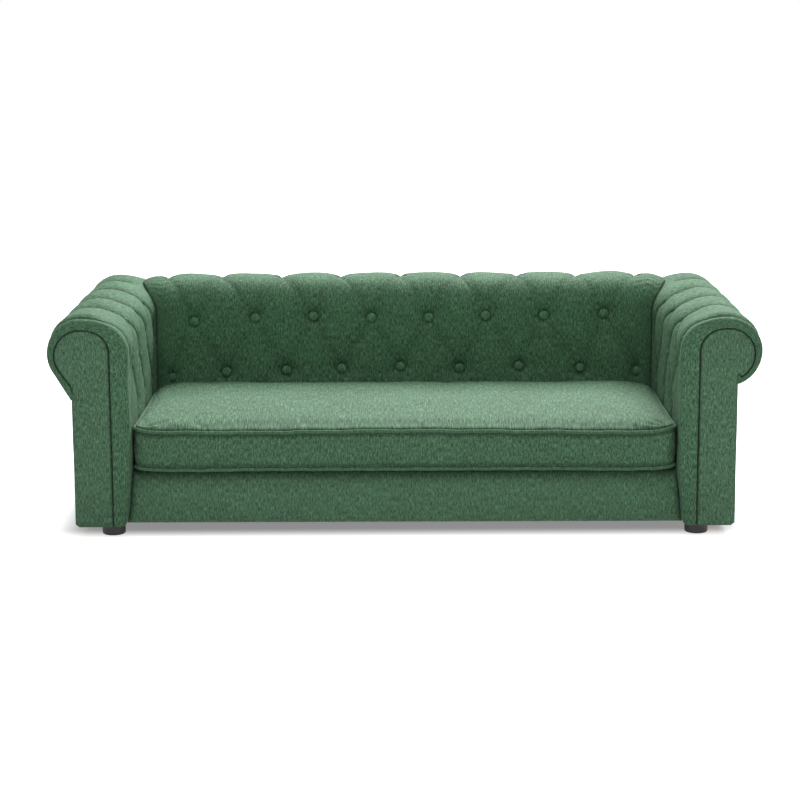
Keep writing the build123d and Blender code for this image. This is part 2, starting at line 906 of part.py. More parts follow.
with BuildPart() as cushion_zip:
    block((-half_zip, tape_face, zip_mid - half_tape), (half_zip, tape_top, zip_mid + half_tape))
    block((-half_zip, tape_top, zip_mid - half_neck), (half_zip, coil_foot, zip_mid + half_neck))
    block((-half_zip, coil_foot, zip_mid - half_coil), (half_zip, coil_top, zip_mid + half_coil))
    for x in (-half_zip, half_zip - zip_stop):
        block((x, tape_top, zip_mid - slider_half), (x + zip_stop, coil_top, zip_mid + slider_half))
write(cushion_zip.part, "cushion_zip")

slider_middle = zip_stop + slider_gap + slider_length / 2 - half_zip
slider_low = slider_middle - slider_length / 2
slider_high = slider_middle + slider_length / 2
slider_foot = tape_top + slider_gap
with BuildPart() as zip_slider:
    block(
        (slider_low, slider_foot, zip_mid - slider_half),
        (slider_high, coil_top + slider_gap + slider_wall, zip_mid + slider_half),
    )
    block(
        (slider_low - overrun, coil_foot - slider_gap, zip_mid - half_coil - slider_gap),
        (slider_high + overrun, coil_top + slider_gap, zip_mid + half_coil + slider_gap),
        mode=Mode.SUBTRACT,
    )
    block(
        (slider_low - overrun, slider_foot - overrun, zip_mid - half_neck - slider_gap),
        (slider_high + overrun, coil_foot, zip_mid + half_neck + slider_gap),
        mode=Mode.SUBTRACT,
    )
write(zip_slider.part, "zip_slider")
print("zip travel", 2 * -slider_middle)

# Feet and the screws that hold them
for seat, end in zip(foot_seats, ("front", "rear")):
    with BuildPart() as foot:
        rod(seat, foot_radius, -frame_bottom, 0)
        fillet(foot.faces().sort_by(Axis.Z)[0].edges(), foot_round)
        rod(seat, foot_bore_radius, -frame_bottom, 0, mode=Mode.SUBTRACT)
        rod(
            seat,
            foot_counterbore_radius,
            -frame_bottom,
            foot_counterbore_depth - frame_bottom,
            mode=Mode.SUBTRACT,
        )
    write_pair(foot.part, f"{end}_{{}}_foot")

with BuildPart() as foot_screws:
    for seat in foot_seats:
        bearing = foot_counterbore_depth - frame_bottom
        rod(seat, screw_head_radius, bearing - screw_head, bearing)
        rod(seat, screw_radius, bearing, screw_bite)
    mirror(about=Plane.YZ)
write(foot_screws.part, "foot_screws")

# Bolts, washers and tee nuts that hold the arms and the back to the base
bolt_seats = arm_bolt_seats + back_bolt_seats
with BuildPart() as frame_bolts:
    for seat in bolt_seats:
        under_head = -board - washer
        rod(seat, bolt_head_radius, under_head - bolt_head, under_head)
        rod(seat, bolt_radius, under_head, board + nut_flange + bolt_proud)
write(frame_bolts.part, "frame_bolts")

with BuildPart() as frame_washers:
    for seat in bolt_seats:
        rod(seat, washer_radius, -board - washer, -board)
        rod(seat, bolt_radius + bolt_hole_gap, -board - washer, -board, mode=Mode.SUBTRACT)
write(frame_washers.part, "frame_washers")

with BuildPart() as frame_nuts:
    for seat in bolt_seats:
        rod(seat, nut_flange_radius, board, board + nut_flange)
        rod(seat, nut_barrel_radius, board - nut_barrel, board)
        rod(
            seat,
            bolt_radius + screw_gap,
            board - nut_barrel,
            board + nut_flange,
            mode=Mode.SUBTRACT,
        )
write(frame_nuts.part, "frame_nuts")
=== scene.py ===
"""Tufted dog sofa bed: its upholstery, finishes and studio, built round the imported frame."""

import json
from math import acos, asin, atan2, copysign, cos, exp, hypot, pi, radians, sin

import bmesh
import bpy
import numpy as np
from mathutils import Euler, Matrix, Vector


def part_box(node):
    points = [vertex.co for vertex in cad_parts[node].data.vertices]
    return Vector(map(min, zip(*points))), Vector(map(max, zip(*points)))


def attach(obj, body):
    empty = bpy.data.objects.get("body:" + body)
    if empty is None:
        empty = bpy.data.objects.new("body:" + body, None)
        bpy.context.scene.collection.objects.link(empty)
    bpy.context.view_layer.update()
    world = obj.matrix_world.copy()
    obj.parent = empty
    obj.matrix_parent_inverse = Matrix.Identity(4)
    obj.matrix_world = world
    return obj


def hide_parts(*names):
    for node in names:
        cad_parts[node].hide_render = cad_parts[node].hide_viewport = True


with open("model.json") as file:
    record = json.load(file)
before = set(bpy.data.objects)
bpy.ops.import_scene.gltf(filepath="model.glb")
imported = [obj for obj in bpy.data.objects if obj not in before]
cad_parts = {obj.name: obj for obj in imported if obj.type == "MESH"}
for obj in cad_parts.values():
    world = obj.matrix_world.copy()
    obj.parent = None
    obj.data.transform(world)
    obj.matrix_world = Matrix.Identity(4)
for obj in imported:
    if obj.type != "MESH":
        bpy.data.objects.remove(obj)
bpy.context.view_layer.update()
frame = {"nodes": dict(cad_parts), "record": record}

bl_info = {
    "name": "Tufted dog sofa bed",
    "version": (1, 0, 0),
    "blender": (4, 5, 0),
    "location": "View3D > Sidebar > Dog Sofa",
    "description": "Builds the upholstery, finishes and studio of a tufted dog sofa bed round its packed frame",
    "category": "Object",
}

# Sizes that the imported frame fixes, in metres
ARM_FACE = 0.464
BACK_FACE = 0.144
HALF_DEPTH = 0.280
BACK_HALF = 0.4630
PAD_FOOT = 0.1185
SOFT_BOTTOM = 0.025
ARM_SHOULDER, ARM_TOP = 0.325, 0.383
BACK_SHOULDER, BACK_TOP = 0.337, 0.395
SIDE = 0.097
CHEEK = 0.033
LEDGE = 0.010
LEG_FRONT, LEG_REAR = -0.2443, 0.1753
FACING_PLANE = 0.2716
SEAM_GAP = 0.0009

# The rolled outline of the cover, and that of the seam inside its front band
CREST, TURN, ROLL = 0.077, 0.130, 0.059
SEAM, SEAM_CREST, SEAM_TURN, SEAM_ROLL = 0.0312, 0.0795, 0.080, 0.0445
CREST_PAD = 0.0185

# Where the roll meets the side, by the arm's side: the left roll droops lower than the right one
ROLL_TIP = 0.0975
ARM_NOTCH = {-1: 0.2440, 1: 0.2686}
SEAM_NOTCH = {-1: 0.2680, 1: 0.2871}
BACK_NOTCH, BACK_SEAM_NOTCH = 0.2806, 0.2991
TUCK = ((0.0945, 0.004), (0.0935, 0.012))

# Rows along the front band of an arm: shares of the way in to the seam, and how far each row is sunk
BAND_SHARES = (0.42, 0.50, 0.58, 0.66, 0.74, 0.81, 0.87)
BAND_TUCK = ((0.0003, 0.925), (0.0010, 0.960), (0.0030, 0.985), (0.0070, 0.998), (0.0074, 1.10))
BAND_GATHERS = {-1: (0.300, 0.335, 0.372, 0.425), 1: (0.285, 0.318, 0.402)}

# Pleats along the arms, half the spacing of the buttons, and where the back's ends turn round
ARM_PLEATS = (-0.134, -0.025, 0.084, 0.193)
HALF_PITCH = 0.0545
END_START, END_REACH = 0.415, 0.081

# How far the painted shade of a crease, of a broad fold and of a button's pocket reaches, and how dark it is
CREASE_SHADE_REACH = 0.0030
BROAD_SHADE_REACH, BROAD_SHADE = 0.013, 0.66
POCKET_SHADE_RIM, POCKET_SHADE_REACH, POCKET_SHADE = 0.0085, 0.0034, 0.9

# How far the seat cushion's top and underside lie inside its piping, and how high its boxing is
TOP_INSET, UNDER_INSET = 0.0048, 0.0060
BOXING_HEIGHT = 0.066

# How hard the cushion is blown up, and how far its top and its boxing may then move
PRESSURE = 4.0
TOP_SHIFT, BOXING_SHIFT = 0.0035, 0.0030

FRAME_BODY = "sofa_frame"
CUSHION_BODY = "seat_cushion"


# ------------------------------------------------------------------ settings


class SofaSizes(bpy.types.PropertyGroup):
    """Sizes of the upholstery."""

    cell: bpy.props.FloatProperty(
        name="Cell", description="Spacing of the pads' meshes", default=0.003, min=0.0015, unit="LENGTH"
    )
    cloth: bpy.props.FloatProperty(
        name="Cloth", description="Thickness of the cover and its wadding", default=0.003, unit="LENGTH"
    )
    fold_width: bpy.props.FloatProperty(
        name="Fold width", description="How fast a sharp fold opens", default=0.0032, unit="LENGTH"
    )
    swell_width: bpy.props.FloatProperty(
        name="Swell width", description="How far a pillow rounds off from its fold", default=0.046, unit="LENGTH"
    )
    arm_fold: bpy.props.FloatProperty(
        name="Arm fold", description="Depth of the folds over the arms", default=0.0130, unit="LENGTH"
    )
    back_fold: bpy.props.FloatProperty(
        name="Back fold", description="Depth of the notches in the back's crest", default=0.0110, unit="LENGTH"
    )
    dimple: bpy.props.FloatProperty(
        name="Dimple", description="Depth to which a button draws the pad in", default=0.0095, unit="LENGTH"
    )
    button: bpy.props.FloatProperty(
        name="Button", description="Radius of a covered button", default=0.009, unit="LENGTH"
    )
    welt: bpy.props.FloatProperty(
        name="Welt", description="Radius of the cushion's piping", default=0.003, unit="LENGTH"
    )
    shell: bpy.props.FloatProperty(
        name="Edge round", description="Rounding of the arms' front edges", default=0.009, unit="LENGTH"
    )


class SofaFinish(bpy.types.PropertyGroup):
    """Colours of the sofa."""

    chenille: bpy.props.FloatVectorProperty(
        name="Chenille", description="Middle colour of the cover cloth", subtype="COLOR", size=3,
        default=(0.075, 0.182, 0.094), min=0, max=1,
    )
    dark_fleck: bpy.props.FloatVectorProperty(
        name="Dark fleck", description="Colour of the cloth's dark slubs", subtype="COLOR", size=3,
        default=(0.020, 0.078, 0.032), min=0, max=1,
    )
    light_fleck: bpy.props.FloatVectorProperty(
        name="Light fleck", description="Colour of the cloth's light slubs", subtype="COLOR", size=3,
        default=(0.165, 0.330, 0.190), min=0, max=1,
    )
    foot: bpy.props.FloatVectorProperty(
        name="Feet", description="Colour of the moulded feet", subtype="COLOR", size=3,
        default=(0.018, 0.018, 0.019), min=0, max=1,
    )


def sizes():
    return bpy.context.scene.sofa_sizes


def finish():
    return bpy.context.scene.sofa_finish


# ------------------------------------------------------------------ shares


def ramp(value, reach):
    """Rises from 0 to 1 as the value goes from 0 to its reach."""
    return np.clip(value / reach, 0, 1)


def eased(share):
    """A share from 0 to 1 with soft ends."""
    return share * share * (3 - 2 * share)


def bell(value, reach):
    """1 where the value is 0, falling off to both sides."""
    return np.exp(-((value / reach) ** 2))


def arc(share):
    """The height of a quarter round at a share of its reach."""
    return np.sqrt(np.maximum(1 - (1 - share) ** 2, 0))


def side_name(side):
    return "right" if side > 0 else "left"


# ------------------------------------------------------------------ outlines


class Scroll:
    """The rolled outline of an arm or the back: up the face, over the roll and in to the notch."""

    def __init__(self, face, crest, shoulder, top, turn, roll, notch, foot):
        lift = top - turn - shoulder
        reach = crest - face
        self.long = (reach**2 + lift**2 - turn**2) / (2 * (reach - turn))
        self.face, self.crest, self.shoulder, self.top = face, crest, shoulder, top
        self.turn, self.roll, self.notch, self.foot = turn, roll, notch, foot
        way = 1 if reach > turn else -1
        self.joint = atan2(way * lift, way * (reach - self.long))
        fall = (notch[0] - crest, notch[1] - (top - roll))
        self.end = atan2(fall[1], fall[0]) + acos(min(1.0, roll / hypot(*fall)))
        self.last = (crest + roll * cos(self.end), top - roll + roll * sin(self.end))

    def counts(self, cell):
        """How many cells fit in each of the outline's five runs."""
        lengths = (
            self.shoulder - self.foot,
            self.long * (pi - self.joint),
            self.turn * (self.joint - pi / 2),
            self.roll * (pi / 2 - self.end),
            hypot(self.last[0] - self.notch[0], self.last[1] - self.notch[1]),
        )
        return [max(2, round(length / cell)) for length in lengths]

    def points(self, counts):
        """Points along the outline, with the given number of steps in each of its five runs."""
        rows = [np.stack([np.full(counts[0], self.face), np.linspace(self.foot, self.shoulder, counts[0], False)], 1)]
        runs = (
            (self.face + self.long, self.shoulder, self.long, pi, self.joint),
            (self.crest, self.top - self.turn, self.turn, self.joint, pi / 2),
            (self.crest, self.top - self.roll, self.roll, pi / 2, self.end),
        )
        for (u, z, radius, start, stop), count in zip(runs, counts[1:4]):
            angle = np.linspace(start, stop, count, False)
            rows.append(np.stack([u + radius * np.cos(angle), z + radius * np.sin(angle)], 1))
        last, share = np.array(self.last), np.linspace(0, 1, counts[4] + 1)[:, None]
        rows.append(last + (np.array(self.notch) - last) * share)
        return np.concatenate(rows)


def outer_scroll(shoulder, top, notch, foot):
    """The outline of a tufted cover, down to the height of its notch."""
    return Scroll(0.0, CREST, shoulder, top, TURN, ROLL, (ROLL_TIP, notch), foot)


def seam_scroll(shoulder, top, notch, foot):
    """The outline of the facing, inside the pad's front band."""
    return Scroll(SEAM, SEAM_CREST, shoulder, top - CREST_PAD, SEAM_TURN, SEAM_ROLL, (SIDE, notch), foot)


def tucked(outline):
    """An outline with two more rows that run up behind its lower end."""
    return np.concatenate([outline, [[out, outline[-1, 1] + up] for out, up in TUCK]])


def lengths_along(points):
    steps = np.linalg.norm(np.diff(points, axis=0), axis=1)
    return np.concatenate([[0.0], np.cumsum(steps)])


def outward(points):
    """Unit normals of an outline that runs up the face and over the roll."""
    run = np.gradient(points, axis=0)
    run /= np.linalg.norm(run, axis=1)[:, None]
    return np.stack([-run[:, 1], run[:, 0]], 1)


def refined(start, stop, cell, places, fine=0.0012, reach=0.012):
    """Places from start to stop, cell apart, and closer together near the given places."""
    at, found = start, []
    while at < stop:
        found.append(at)
        near = min((abs(at - p) for p in places), default=1.0)
        at += min(cell, fine + (cell - fine) * min(1.0, near / reach))
    if stop - found[-1] < 0.4 * cell and len(found) > 1:
        found.pop()
    return np.array(found + [stop])


# ------------------------------------------------------------------ tufting


class Tufting:
    """Folds and buttons drawn into a pad, in the flat of its cover: s up the cover, t along it."""

    def __init__(self, seed):
        self.folds, self.buttons = [], []
        self.random = np.random.default_rng(seed)

    def fold(self, start, stop, depth, sharp=0.5, width=1.0):
        self.folds.append((start, stop, depth, sharp, width))

    def button(self, s, t, depth, reach=0.02):
        self.buttons.append((s, t, depth, reach))

    def depth(self, s, t):
        """How far the cover is drawn in at each point."""
        warp = 0.0015 * np.sin(s * 83 + t * 37) + 0.0012 * np.sin(s * 41 - t * 97 + 1.3)
        total = np.zeros_like(s)
        for start, stop, (deep, deeper), sharp, width in self.folds:
            held, off_s, off_t = beside_fold(start, stop, s, t)
            off = np.sqrt(off_s**2 + (off_t + warp * np.sin(held * pi)) ** 2 + 1e-6)
            level = deep + (deeper - deep) * held
            pillow = 1 - arc(ramp(off, sizes().swell_width * width))
            drawn = level * (sharp * np.exp(-off / sizes().fold_width) + (1 - sharp) * pillow)
            total = join_depths(total, drawn)
        for place_s, place_t, depth, reach in self.buttons:
            off = np.hypot(s - place_s, t - place_t)
            drawn = depth * np.exp(-((np.maximum(off - 0.006, 0) / reach) ** 1.15) * 1.8)
            total = join_depths(total, drawn)
        return total

    def shade(self, s, t):
        """How much painted shade each point gets, from 0 to 1, for lying inside a crease or a button's pocket."""
        total = np.zeros_like(s)
        for start, stop, (deep, deeper), sharp, width in self.folds:
            held, off_s, off_t = beside_fold(start, stop, s, t)
            off = np.hypot(off_s, off_t)
            level = (deep + (deeper - deep) * held) * (0.5 + sharp)
            close = bell(off, CREASE_SHADE_REACH)
            if width > 1:
                close = np.maximum(close, BROAD_SHADE * bell(off, BROAD_SHADE_REACH))
            total = np.maximum(total, ramp(level, 0.011) * close)
        for place_s, place_t, _, _ in self.buttons:
            rim = np.maximum(np.hypot(s - place_s, t - place_t) - POCKET_SHADE_RIM, 0)
            total = np.maximum(total, POCKET_SHADE * bell(rim, POCKET_SHADE_REACH))
        return total

    def seat(self, s, t, outline, normal, along, raised):
        """A button's place in the plane of the outline and the way it faces, raised off the sunken cover."""
        k = np.argmin(np.abs(along - s))
        return outline[k] - normal[k] * (self.depth(np.array([s]), np.array([t]))[0] - raised), normal[k]

    def puckers(self, s, t, strength):
        """Small gathers that run out from each button."""
        total = np.zeros_like(s)
        for place_s, place_t, *_ in self.buttons:
            off = np.hypot(s - place_s, t - place_t)
            angle = np.arctan2(t - place_t, s - place_s)
            phase, count = self.random.uniform(0, 6.3), self.random.integers(5, 8)
            wave = np.sin(angle * count + phase) + 0.5 * np.sin(angle * (count + 3) + 2 * phase)
            total += strength * wave * bell(off - 0.014, 0.010)
        return total


def beside_fold(start, stop, s, t):
    """How far along a fold each point lies, from 0 to 1, and its two offsets from there."""
    run = np.array(stop) - np.array(start)
    held = ramp((s - start[0]) * run[0] + (t - start[1]) * run[1], run @ run)
    return held, s - start[0] - held * run[0], t - start[1] - held * run[1]


def join_depths(a, b, blend=0.0022):
    """The deeper of two depths, with a soft corner between them."""
    gap = np.abs(a - b)
    extra = np.where(gap < blend, (blend - gap) ** 2 / (4 * blend), 0.0)
    fade = ramp(np.minimum(a, b), blend)
    return np.maximum(a, b) + extra * fade


def ripple(s, t, seed, size, height, count=9):
    """Smooth unevenness of a stuffed surface."""
    random = np.random.default_rng(seed)
    total = np.zeros_like(s)
    for _ in range(count):
        way = random.uniform(0, 2 * pi)
        wave = 2 * pi / (size * random.uniform(0.6, 1.6))
        total += np.sin((s * cos(way) + t * sin(way)) * wave + random.uniform(0, 6.3))
    return total * height / count**0.5


# ------------------------------------------------------------------ meshes


def grid_faces(rows, columns, wrap=False, close=False):
    """The faces of a grid of points: wrap joins its last column to its first, and close its last row."""
    index = np.arange(rows * columns).reshape(rows, columns)
    if close:
        index = np.concatenate([index, index[:1]])
    if wrap:
        index = np.concatenate([index, index[:, :1]], 1)
    return np.stack([index[:-1, :-1], index[:-1, 1:], index[1:, 1:], index[1:, :-1]], -1).reshape(-1, 4)


def grid_normals(points, outside):
    """Unit normals of a grid of points, on the side that the given vectors point to."""
    normal = np.cross(np.gradient(points, axis=0), np.gradient(points, axis=1))
    normal /= np.maximum(np.linalg.norm(normal, axis=-1, keepdims=True), 1e-12)
    if (normal * outside).sum() < 0:
        normal = -normal
    return normal


def thicken(outer, inner, faces):
    """A closed shell: the outer faces, the inner ones and the rim between them. Says which point each vertex is."""
    edges = np.concatenate([faces[:, [i, (i + 1) % 4]] for i in range(4)])
    _, first, count = np.unique(np.sort(edges, 1), axis=0, return_index=True, return_counts=True)
    rim = edges[first[count == 1]]
    total = len(outer)
    every = np.concatenate([
        faces,
        faces[:, ::-1] + total,
        np.stack([rim[:, 1], rim[:, 0], rim[:, 0] + total, rim[:, 1] + total], 1),
    ])
    used, renamed = np.unique(every, return_inverse=True)
    return np.concatenate([outer, inner])[used], renamed.reshape(-1, 4), used % total


def shell_between(face, back, faces=None):
    """The closed shell between two grids of points."""
    faces = grid_faces(*face.shape[:2]) if faces is None else faces
    return thicken(face.reshape(-1, 3), back.reshape(-1, 3), faces)


def make_piece(name, points, faces, cloth):
    """A smooth mesh object. cloth is each vertex's place in the flat of its cloth: across, along, and how much
    painted shade it gets.
    """
    mesh = bpy.data.meshes.new(name)
    mesh.from_pydata(np.asarray(points).tolist(), [], [tuple(f) for f in faces])
    places = mesh.attributes.new("cloth", "FLOAT_VECTOR", "POINT")
    flat = np.zeros((len(points), 3), np.float32)
    flat[:, : cloth.shape[1]] = cloth
    places.data.foreach_set("vector", flat.ravel())
    tidy_mesh(mesh)
    mesh.polygons.foreach_set("use_smooth", np.ones(len(mesh.polygons), bool))
    return put_in_scene(name, mesh)


def put_in_scene(name, data):
    made = bpy.data.objects.new(name, data)
    bpy.context.scene.collection.objects.link(made)
    return made


def tidy_mesh(mesh):
    """Turns all faces of a mesh outward."""
    form = bmesh.new()
    form.from_mesh(mesh)
    bmesh.ops.recalc_face_normals(form, faces=form.faces)
    form.to_mesh(mesh)
    form.free()


def dress(piece, material, body, slot, *nodes):
    """Gives a piece its material and its body, and hides the imported nodes that it stands for; its slot is not used.
    """
    piece.data.materials.clear()
    piece.data.materials.append(material)
    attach(piece, body)
    if nodes:
        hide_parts(*nodes)


def joined(parts):
    """Points, faces and cloth places of several meshes put together."""
    points, faces, cloth, start = [], [], [], 0
    for part_points, part_faces, part_cloth in parts:
        points.append(part_points)
        faces.extend(tuple(int(i) + start for i in face) for face in part_faces)
        cloth.append(part_cloth)
        start += len(part_points)
    return np.concatenate(points), faces, np.concatenate(cloth)


def lathe(profile, count):
    """A closed turned form about z. The profile runs from the axis round to the axis."""
    profile = np.array(profile)
    angle = np.linspace(0, 2 * pi, count, False)
    ring = profile[1:-1]
    body = np.stack([
        ring[:, :1] * np.cos(angle), ring[:, :1] * np.sin(angle), np.repeat(ring[:, 1:], count, 1)
    ], -1)
    points = np.concatenate([body.reshape(-1, 3), [[0, 0, profile[0, 1]], [0, 0, profile[-1, 1]]]])
    faces = [tuple(f) for f in grid_faces(len(ring), count, wrap=True)]
    low, high, last = len(points) - 2, len(points) - 1, (len(ring) - 1) * count
    for i in range(count):
        follow = (i + 1) % count
        faces.append((low, follow, i))
        faces.append((high, last + i, last + follow))
    return points, faces


def tube(path, radius, count=10):
    """A closed loop of round cord along a level path."""
    run = np.roll(path, -1, 0) - np.roll(path, 1, 0)
    run[:, 2] = 0
    run /= np.linalg.norm(run, axis=1)[:, None]
    side = np.stack([run[:, 1], -run[:, 0], np.zeros(len(run))], 1)
    angle = np.linspace(0, 2 * pi, count, False)
    points = (
        path[:, None]
        + radius * np.cos(angle)[None, :, None] * side[:, None]
        + radius * np.sin(angle)[None, :, None] * np.array([0, 0, 1.0])
    )
    faces = grid_faces(len(path), count, wrap=True, close=True)
    along = lengths_along(path)
    cloth = np.stack([np.repeat(along, count), np.tile(angle * radius, len(path))], 1)
    return points.reshape(-1, 3), faces, cloth


# ------------------------------------------------------------------ arms


def arm_tufting(side):
    """Folds and buttons of one arm; the two arms are stuffed by hand and differ a little."""
    fold, dimple = sizes().arm_fold, sizes().dimple
    tufts = Tufting(3 if side > 0 else 4)
    low, middle, crest = 0.102, 0.181, 0.314
    fork, shoulder, roll_out = crest - 0.065, crest - 0.035, crest + 0.150
    jitter = tufts.random.uniform(-0.004, 0.004, (2, len(ARM_PLEATS)))
    crests = [y + j for y, j in zip(ARM_PLEATS, jitter[0])]
    middles = [y - HALF_PITCH + j for y, j in zip(ARM_PLEATS, jitter[1])]

    def crease(start, stop, deep, deeper, sharp, width=1.0):
        tufts.fold(start, stop, (deep * fold, deeper * fold), sharp, width)

    for i, y in enumerate(crests):
        crease((fork, y), (crest, y), 1.1, 1.25, 0.22, 1.16)
        crease((crest, y), (roll_out, y + 0.002), 1.25, 0.9, 0.16, 1.18)
        crease((fork, y), (middle, middles[i]), 1.1, 1.0, 0.40)
        if i + 1 < len(middles):
            crease((fork, y), (middle, middles[i + 1]), 1.1, 1.2, 0.50)
        crease((low, y), (-0.002, y), 0.7, 0.4, 0.35)
        tufts.button(low, y, dimple)
    for i, y in enumerate(middles):
        crease((middle, y), (low, ARM_PLEATS[i]), 0.9, 0.6, 0.4)
        if i:
            crease((middle, y), (low, ARM_PLEATS[i - 1]), 0.9, 0.6, 0.4)
        tufts.button(middle, y, dimple * 1.15)
    front, gusset = -HALF_DEPTH + 0.0195, middles[0] - 0.036
    crease((shoulder, front + 0.004), (roll_out, front), 0.85, 0.62, 0.55, 0.36)
    crease((shoulder, front + 0.004), (middle, gusset), 0.85, 0.90, 0.55, 0.5)
    crease((middle, gusset), (middle - 0.02, middles[0] - 0.034), 0.90, 0.10, 0.5, 0.6)
    crease((middle, middles[0]), (low - 0.03, front + 0.016), 0.6, 0.2, 0.4)
    for y in crests:
        for offset, length in ((0.013, 0.030), (0.021, 0.018)):
            at = crest - 0.055 + tufts.random.uniform(-0.012, 0.012)
            lean = tufts.random.uniform(0.004, 0.009)
            tufts.fold((at, y - offset), (at - length, y - offset - lean), (0.0011, 0.0008), 0.7, 0.35)
    return tufts


def arm_stations():
    """Rows along an arm: place, share of the way in to the facing's seam, and place along the flat cover."""
    edge = sizes().shell
    face = -HALF_DEPTH + edge
    rows = [(y, 0.0, y) for y in refined(face, -face, sizes().cell, (*ARM_PLEATS, -HALF_DEPTH + 0.018))]
    bend_share, steps = 0.34, 6
    bend = [i / steps * pi / 2 for i in range(1, steps + 1)]
    band = [(edge * sin(angle), bend_share * (1 - cos(angle))) for angle in bend]
    band += [(edge, share) for share in BAND_SHARES]
    band += [(edge - sunk, share) for sunk, share in BAND_TUCK]
    out, last = 0.0, (0.0, 0.0)
    ahead, behind = [], []
    for reach, share in band:
        out += hypot(reach - last[0], (share - last[1]) * SEAM)
        last = (reach, share)
        ahead.append((face - reach, share, face - out))
        behind.append((-face + reach, share, -face + out))
    return ahead[::-1] + rows + behind


def band_gathers(side, share, s, t):
    """How far the front band is gathered along the facing's seam, and the painted shade in its creases."""
    strip = ramp(share - 0.42, 0.4)
    gathers, painted_gather_shade = np.zeros_like(s), np.zeros_like(s)
    for spot in BAND_GATHERS[side]:
        line = np.abs(s - spot + 0.012 * share)
        gathers += 0.0018 * np.exp(-line / 0.0024) * strip
        painted_gather_shade += 0.45 * bell(line, 0.0016) * strip
    gathers += 0.0004 * np.sin(s * 310 + side) * ramp(share - 0.4, 0.5)
    gathers += ripple(s, t, 17 + side, 0.05, 0.0004) * ramp(share, 0.3)
    return gathers, painted_gather_shade


def arm_pad(side):
    """One arm's tufted cover, from the deck over the roll to the notch, and round both ends to the seams."""
    name = side_name(side)
    outer = outer_scroll(ARM_SHOULDER, ARM_TOP, ARM_NOTCH[side], SOFT_BOTTOM)
    inner = seam_scroll(ARM_SHOULDER, ARM_TOP, SEAM_NOTCH[side], SOFT_BOTTOM)
    counts = outer.counts(sizes().cell)
    outside, seam = tucked(outer.points(counts)), inner.points(counts)
    seam = np.concatenate([seam, np.repeat(seam[-1:], 2, 0)])
    normal = outward(outside)
    along = lengths_along(outside) - (PAD_FOOT - SOFT_BOTTOM)
    crest_line = along[sum(counts[:3])]
    place, share, flat = np.array(arm_stations()).T
    tufts = arm_tufting(side)
    s, t = np.meshgrid(along, flat, indexing="ij")
    buried = ramp(t - 0.136, 0.014) * ramp(crest_line - 0.012 - s, 0.03)
    hold = eased(ramp(HALF_DEPTH - np.abs(np.clip(t, -HALF_DEPTH, HALF_DEPTH)), 0.010)) * (1 - buried)
    roll_end = ramp(along[-3] - s, 0.02)
    drop = tufts.depth(s, t) * hold * roll_end * ramp(s + 0.004, 0.03)
    drop += tufts.puckers(s, t, 0.0005) * hold * roll_end
    drop -= ripple(s, t, 11 + side, 0.09, 0.0007) * hold * roll_end
    swell = np.where(along > crest_line, 1.0, ramp(outside[:, 0] - 0.036, 0.030)) * np.clip(normal[:, 1], 0, 1) ** 0.7
    drop -= 0.0048 * swell[:, None] * np.sin(ramp(0.2615 - np.abs(t), 0.020) * pi / 2)
    rising = np.arange(len(outside)) < len(outside) // 2
    lean = rising * ramp(PAD_FOOT - outside[:, 1], PAD_FOOT - SOFT_BOTTOM) * LEDGE
    corner = 0.010
    round_in = (rising * corner * (1 - arc(ramp(outside[:, 1] - SOFT_BOTTOM, corner))))[:, None]
    shell = outside[:, None] - normal[:, None] * drop[..., None]
    ahead_of_leg = ramp(LEG_REAR + 0.001 - flat, 0.002)
    shell[..., 0] += (lean[:, None] * ahead_of_leg + 0.6 * round_in) * (1 - share)
    shell += (seam - outside)[:, None] * share[None, :, None]
    gathers, painted_gather_shade = band_gathers(side, share, s, t)
    inward = np.where(place < 0, 1.0, -1.0)
    y = place + (gathers + 0.6 * round_in * (ramp(share, 0.2) * ramp(0.99 - share, 0.1))) * inward
    points = np.stack([side * (ARM_FACE + shell[..., 0]), y, shell[..., 1]], -1)
    normals = grid_normals(points, points - np.array([side * (ARM_FACE + CREST - 0.01), 0, 0.25]))
    behind_base = (y > LEG_FRONT) & (y < LEG_REAR) & (points[..., 2] < PAD_FOOT - 0.0005) & (s < 0.05)
    faces = grid_faces(*s.shape)
    faces = faces[~behind_base.ravel()[faces].any(1)]
    body, closed, source = shell_between(points, points - normals * sizes().cloth, faces)
    # Painted shade: darker in the creases, the buttons' pockets and the gathers, and in the seam's gap along the
    # facing
    crease = np.maximum(tufts.shade(s, t) * hold * roll_end, painted_gather_shade) + ramp(share - 0.93, 0.05)
    cloth = np.stack([t, s, np.clip(crease, 0, 1)], -1).reshape(-1, 3)[source]
    piece = make_piece(f"{name}_arm_cover", body, closed, cloth)
    dress(piece, chenille("tufted"), FRAME_BODY, "tufted_chenille", f"{name}_arm_tufted_pad")
    seats = []
    for place_s, place_t, _, _ in tufts.buttons:
        (out, up), facing_way = tufts.seat(place_s, place_t, outside, normal, along, 0.0008)
        seats.append((
            Vector((side * (ARM_FACE + out), place_t, up)),
            Vector((side * facing_way[0], 0, facing_way[1])),
        ))
    build_buttons(f"{name}_arm_covered_buttons", seats, f"{name}_arm_buttons", 20 + side)


# ------------------------------------------------------------------ back


# How far each button of the back lies from its even place, across and up, in millimetres
BACK_LOW = ((0, -13), (-7, -4), (-3, 0), (-8, 3), (-7, 7), (-5, 3), (-2, 7), (4, 1), (0, -3))
BACK_MIDDLE = ((-11, -8), (-6, 0), (-6, 1), (-7, 0), (-8, -1), (-11, 1), (-11, 2), (-8, 5))
BACK_CREST = (-12, -18, -12, -11, -7, -2, -4, 0, 2)


def along_cover(x):
    """Where a place across the back's face lies along its cover, which runs on round the ends."""
    past = ramp(abs(x) - END_START, BACK_HALF - END_START)
    return x if past == 0 else copysign(END_START + END_REACH * asin(past), x)


def across_back(t, width):
    """The opposite: across the back, from a place along its cover, where the back is that wide."""
    angle = np.clip((np.abs(t) - END_START) / END_REACH, 0, pi / 2)
    return np.clip(t, -END_START, END_START) + np.sign(t) * np.sin(angle) * (width - END_START)


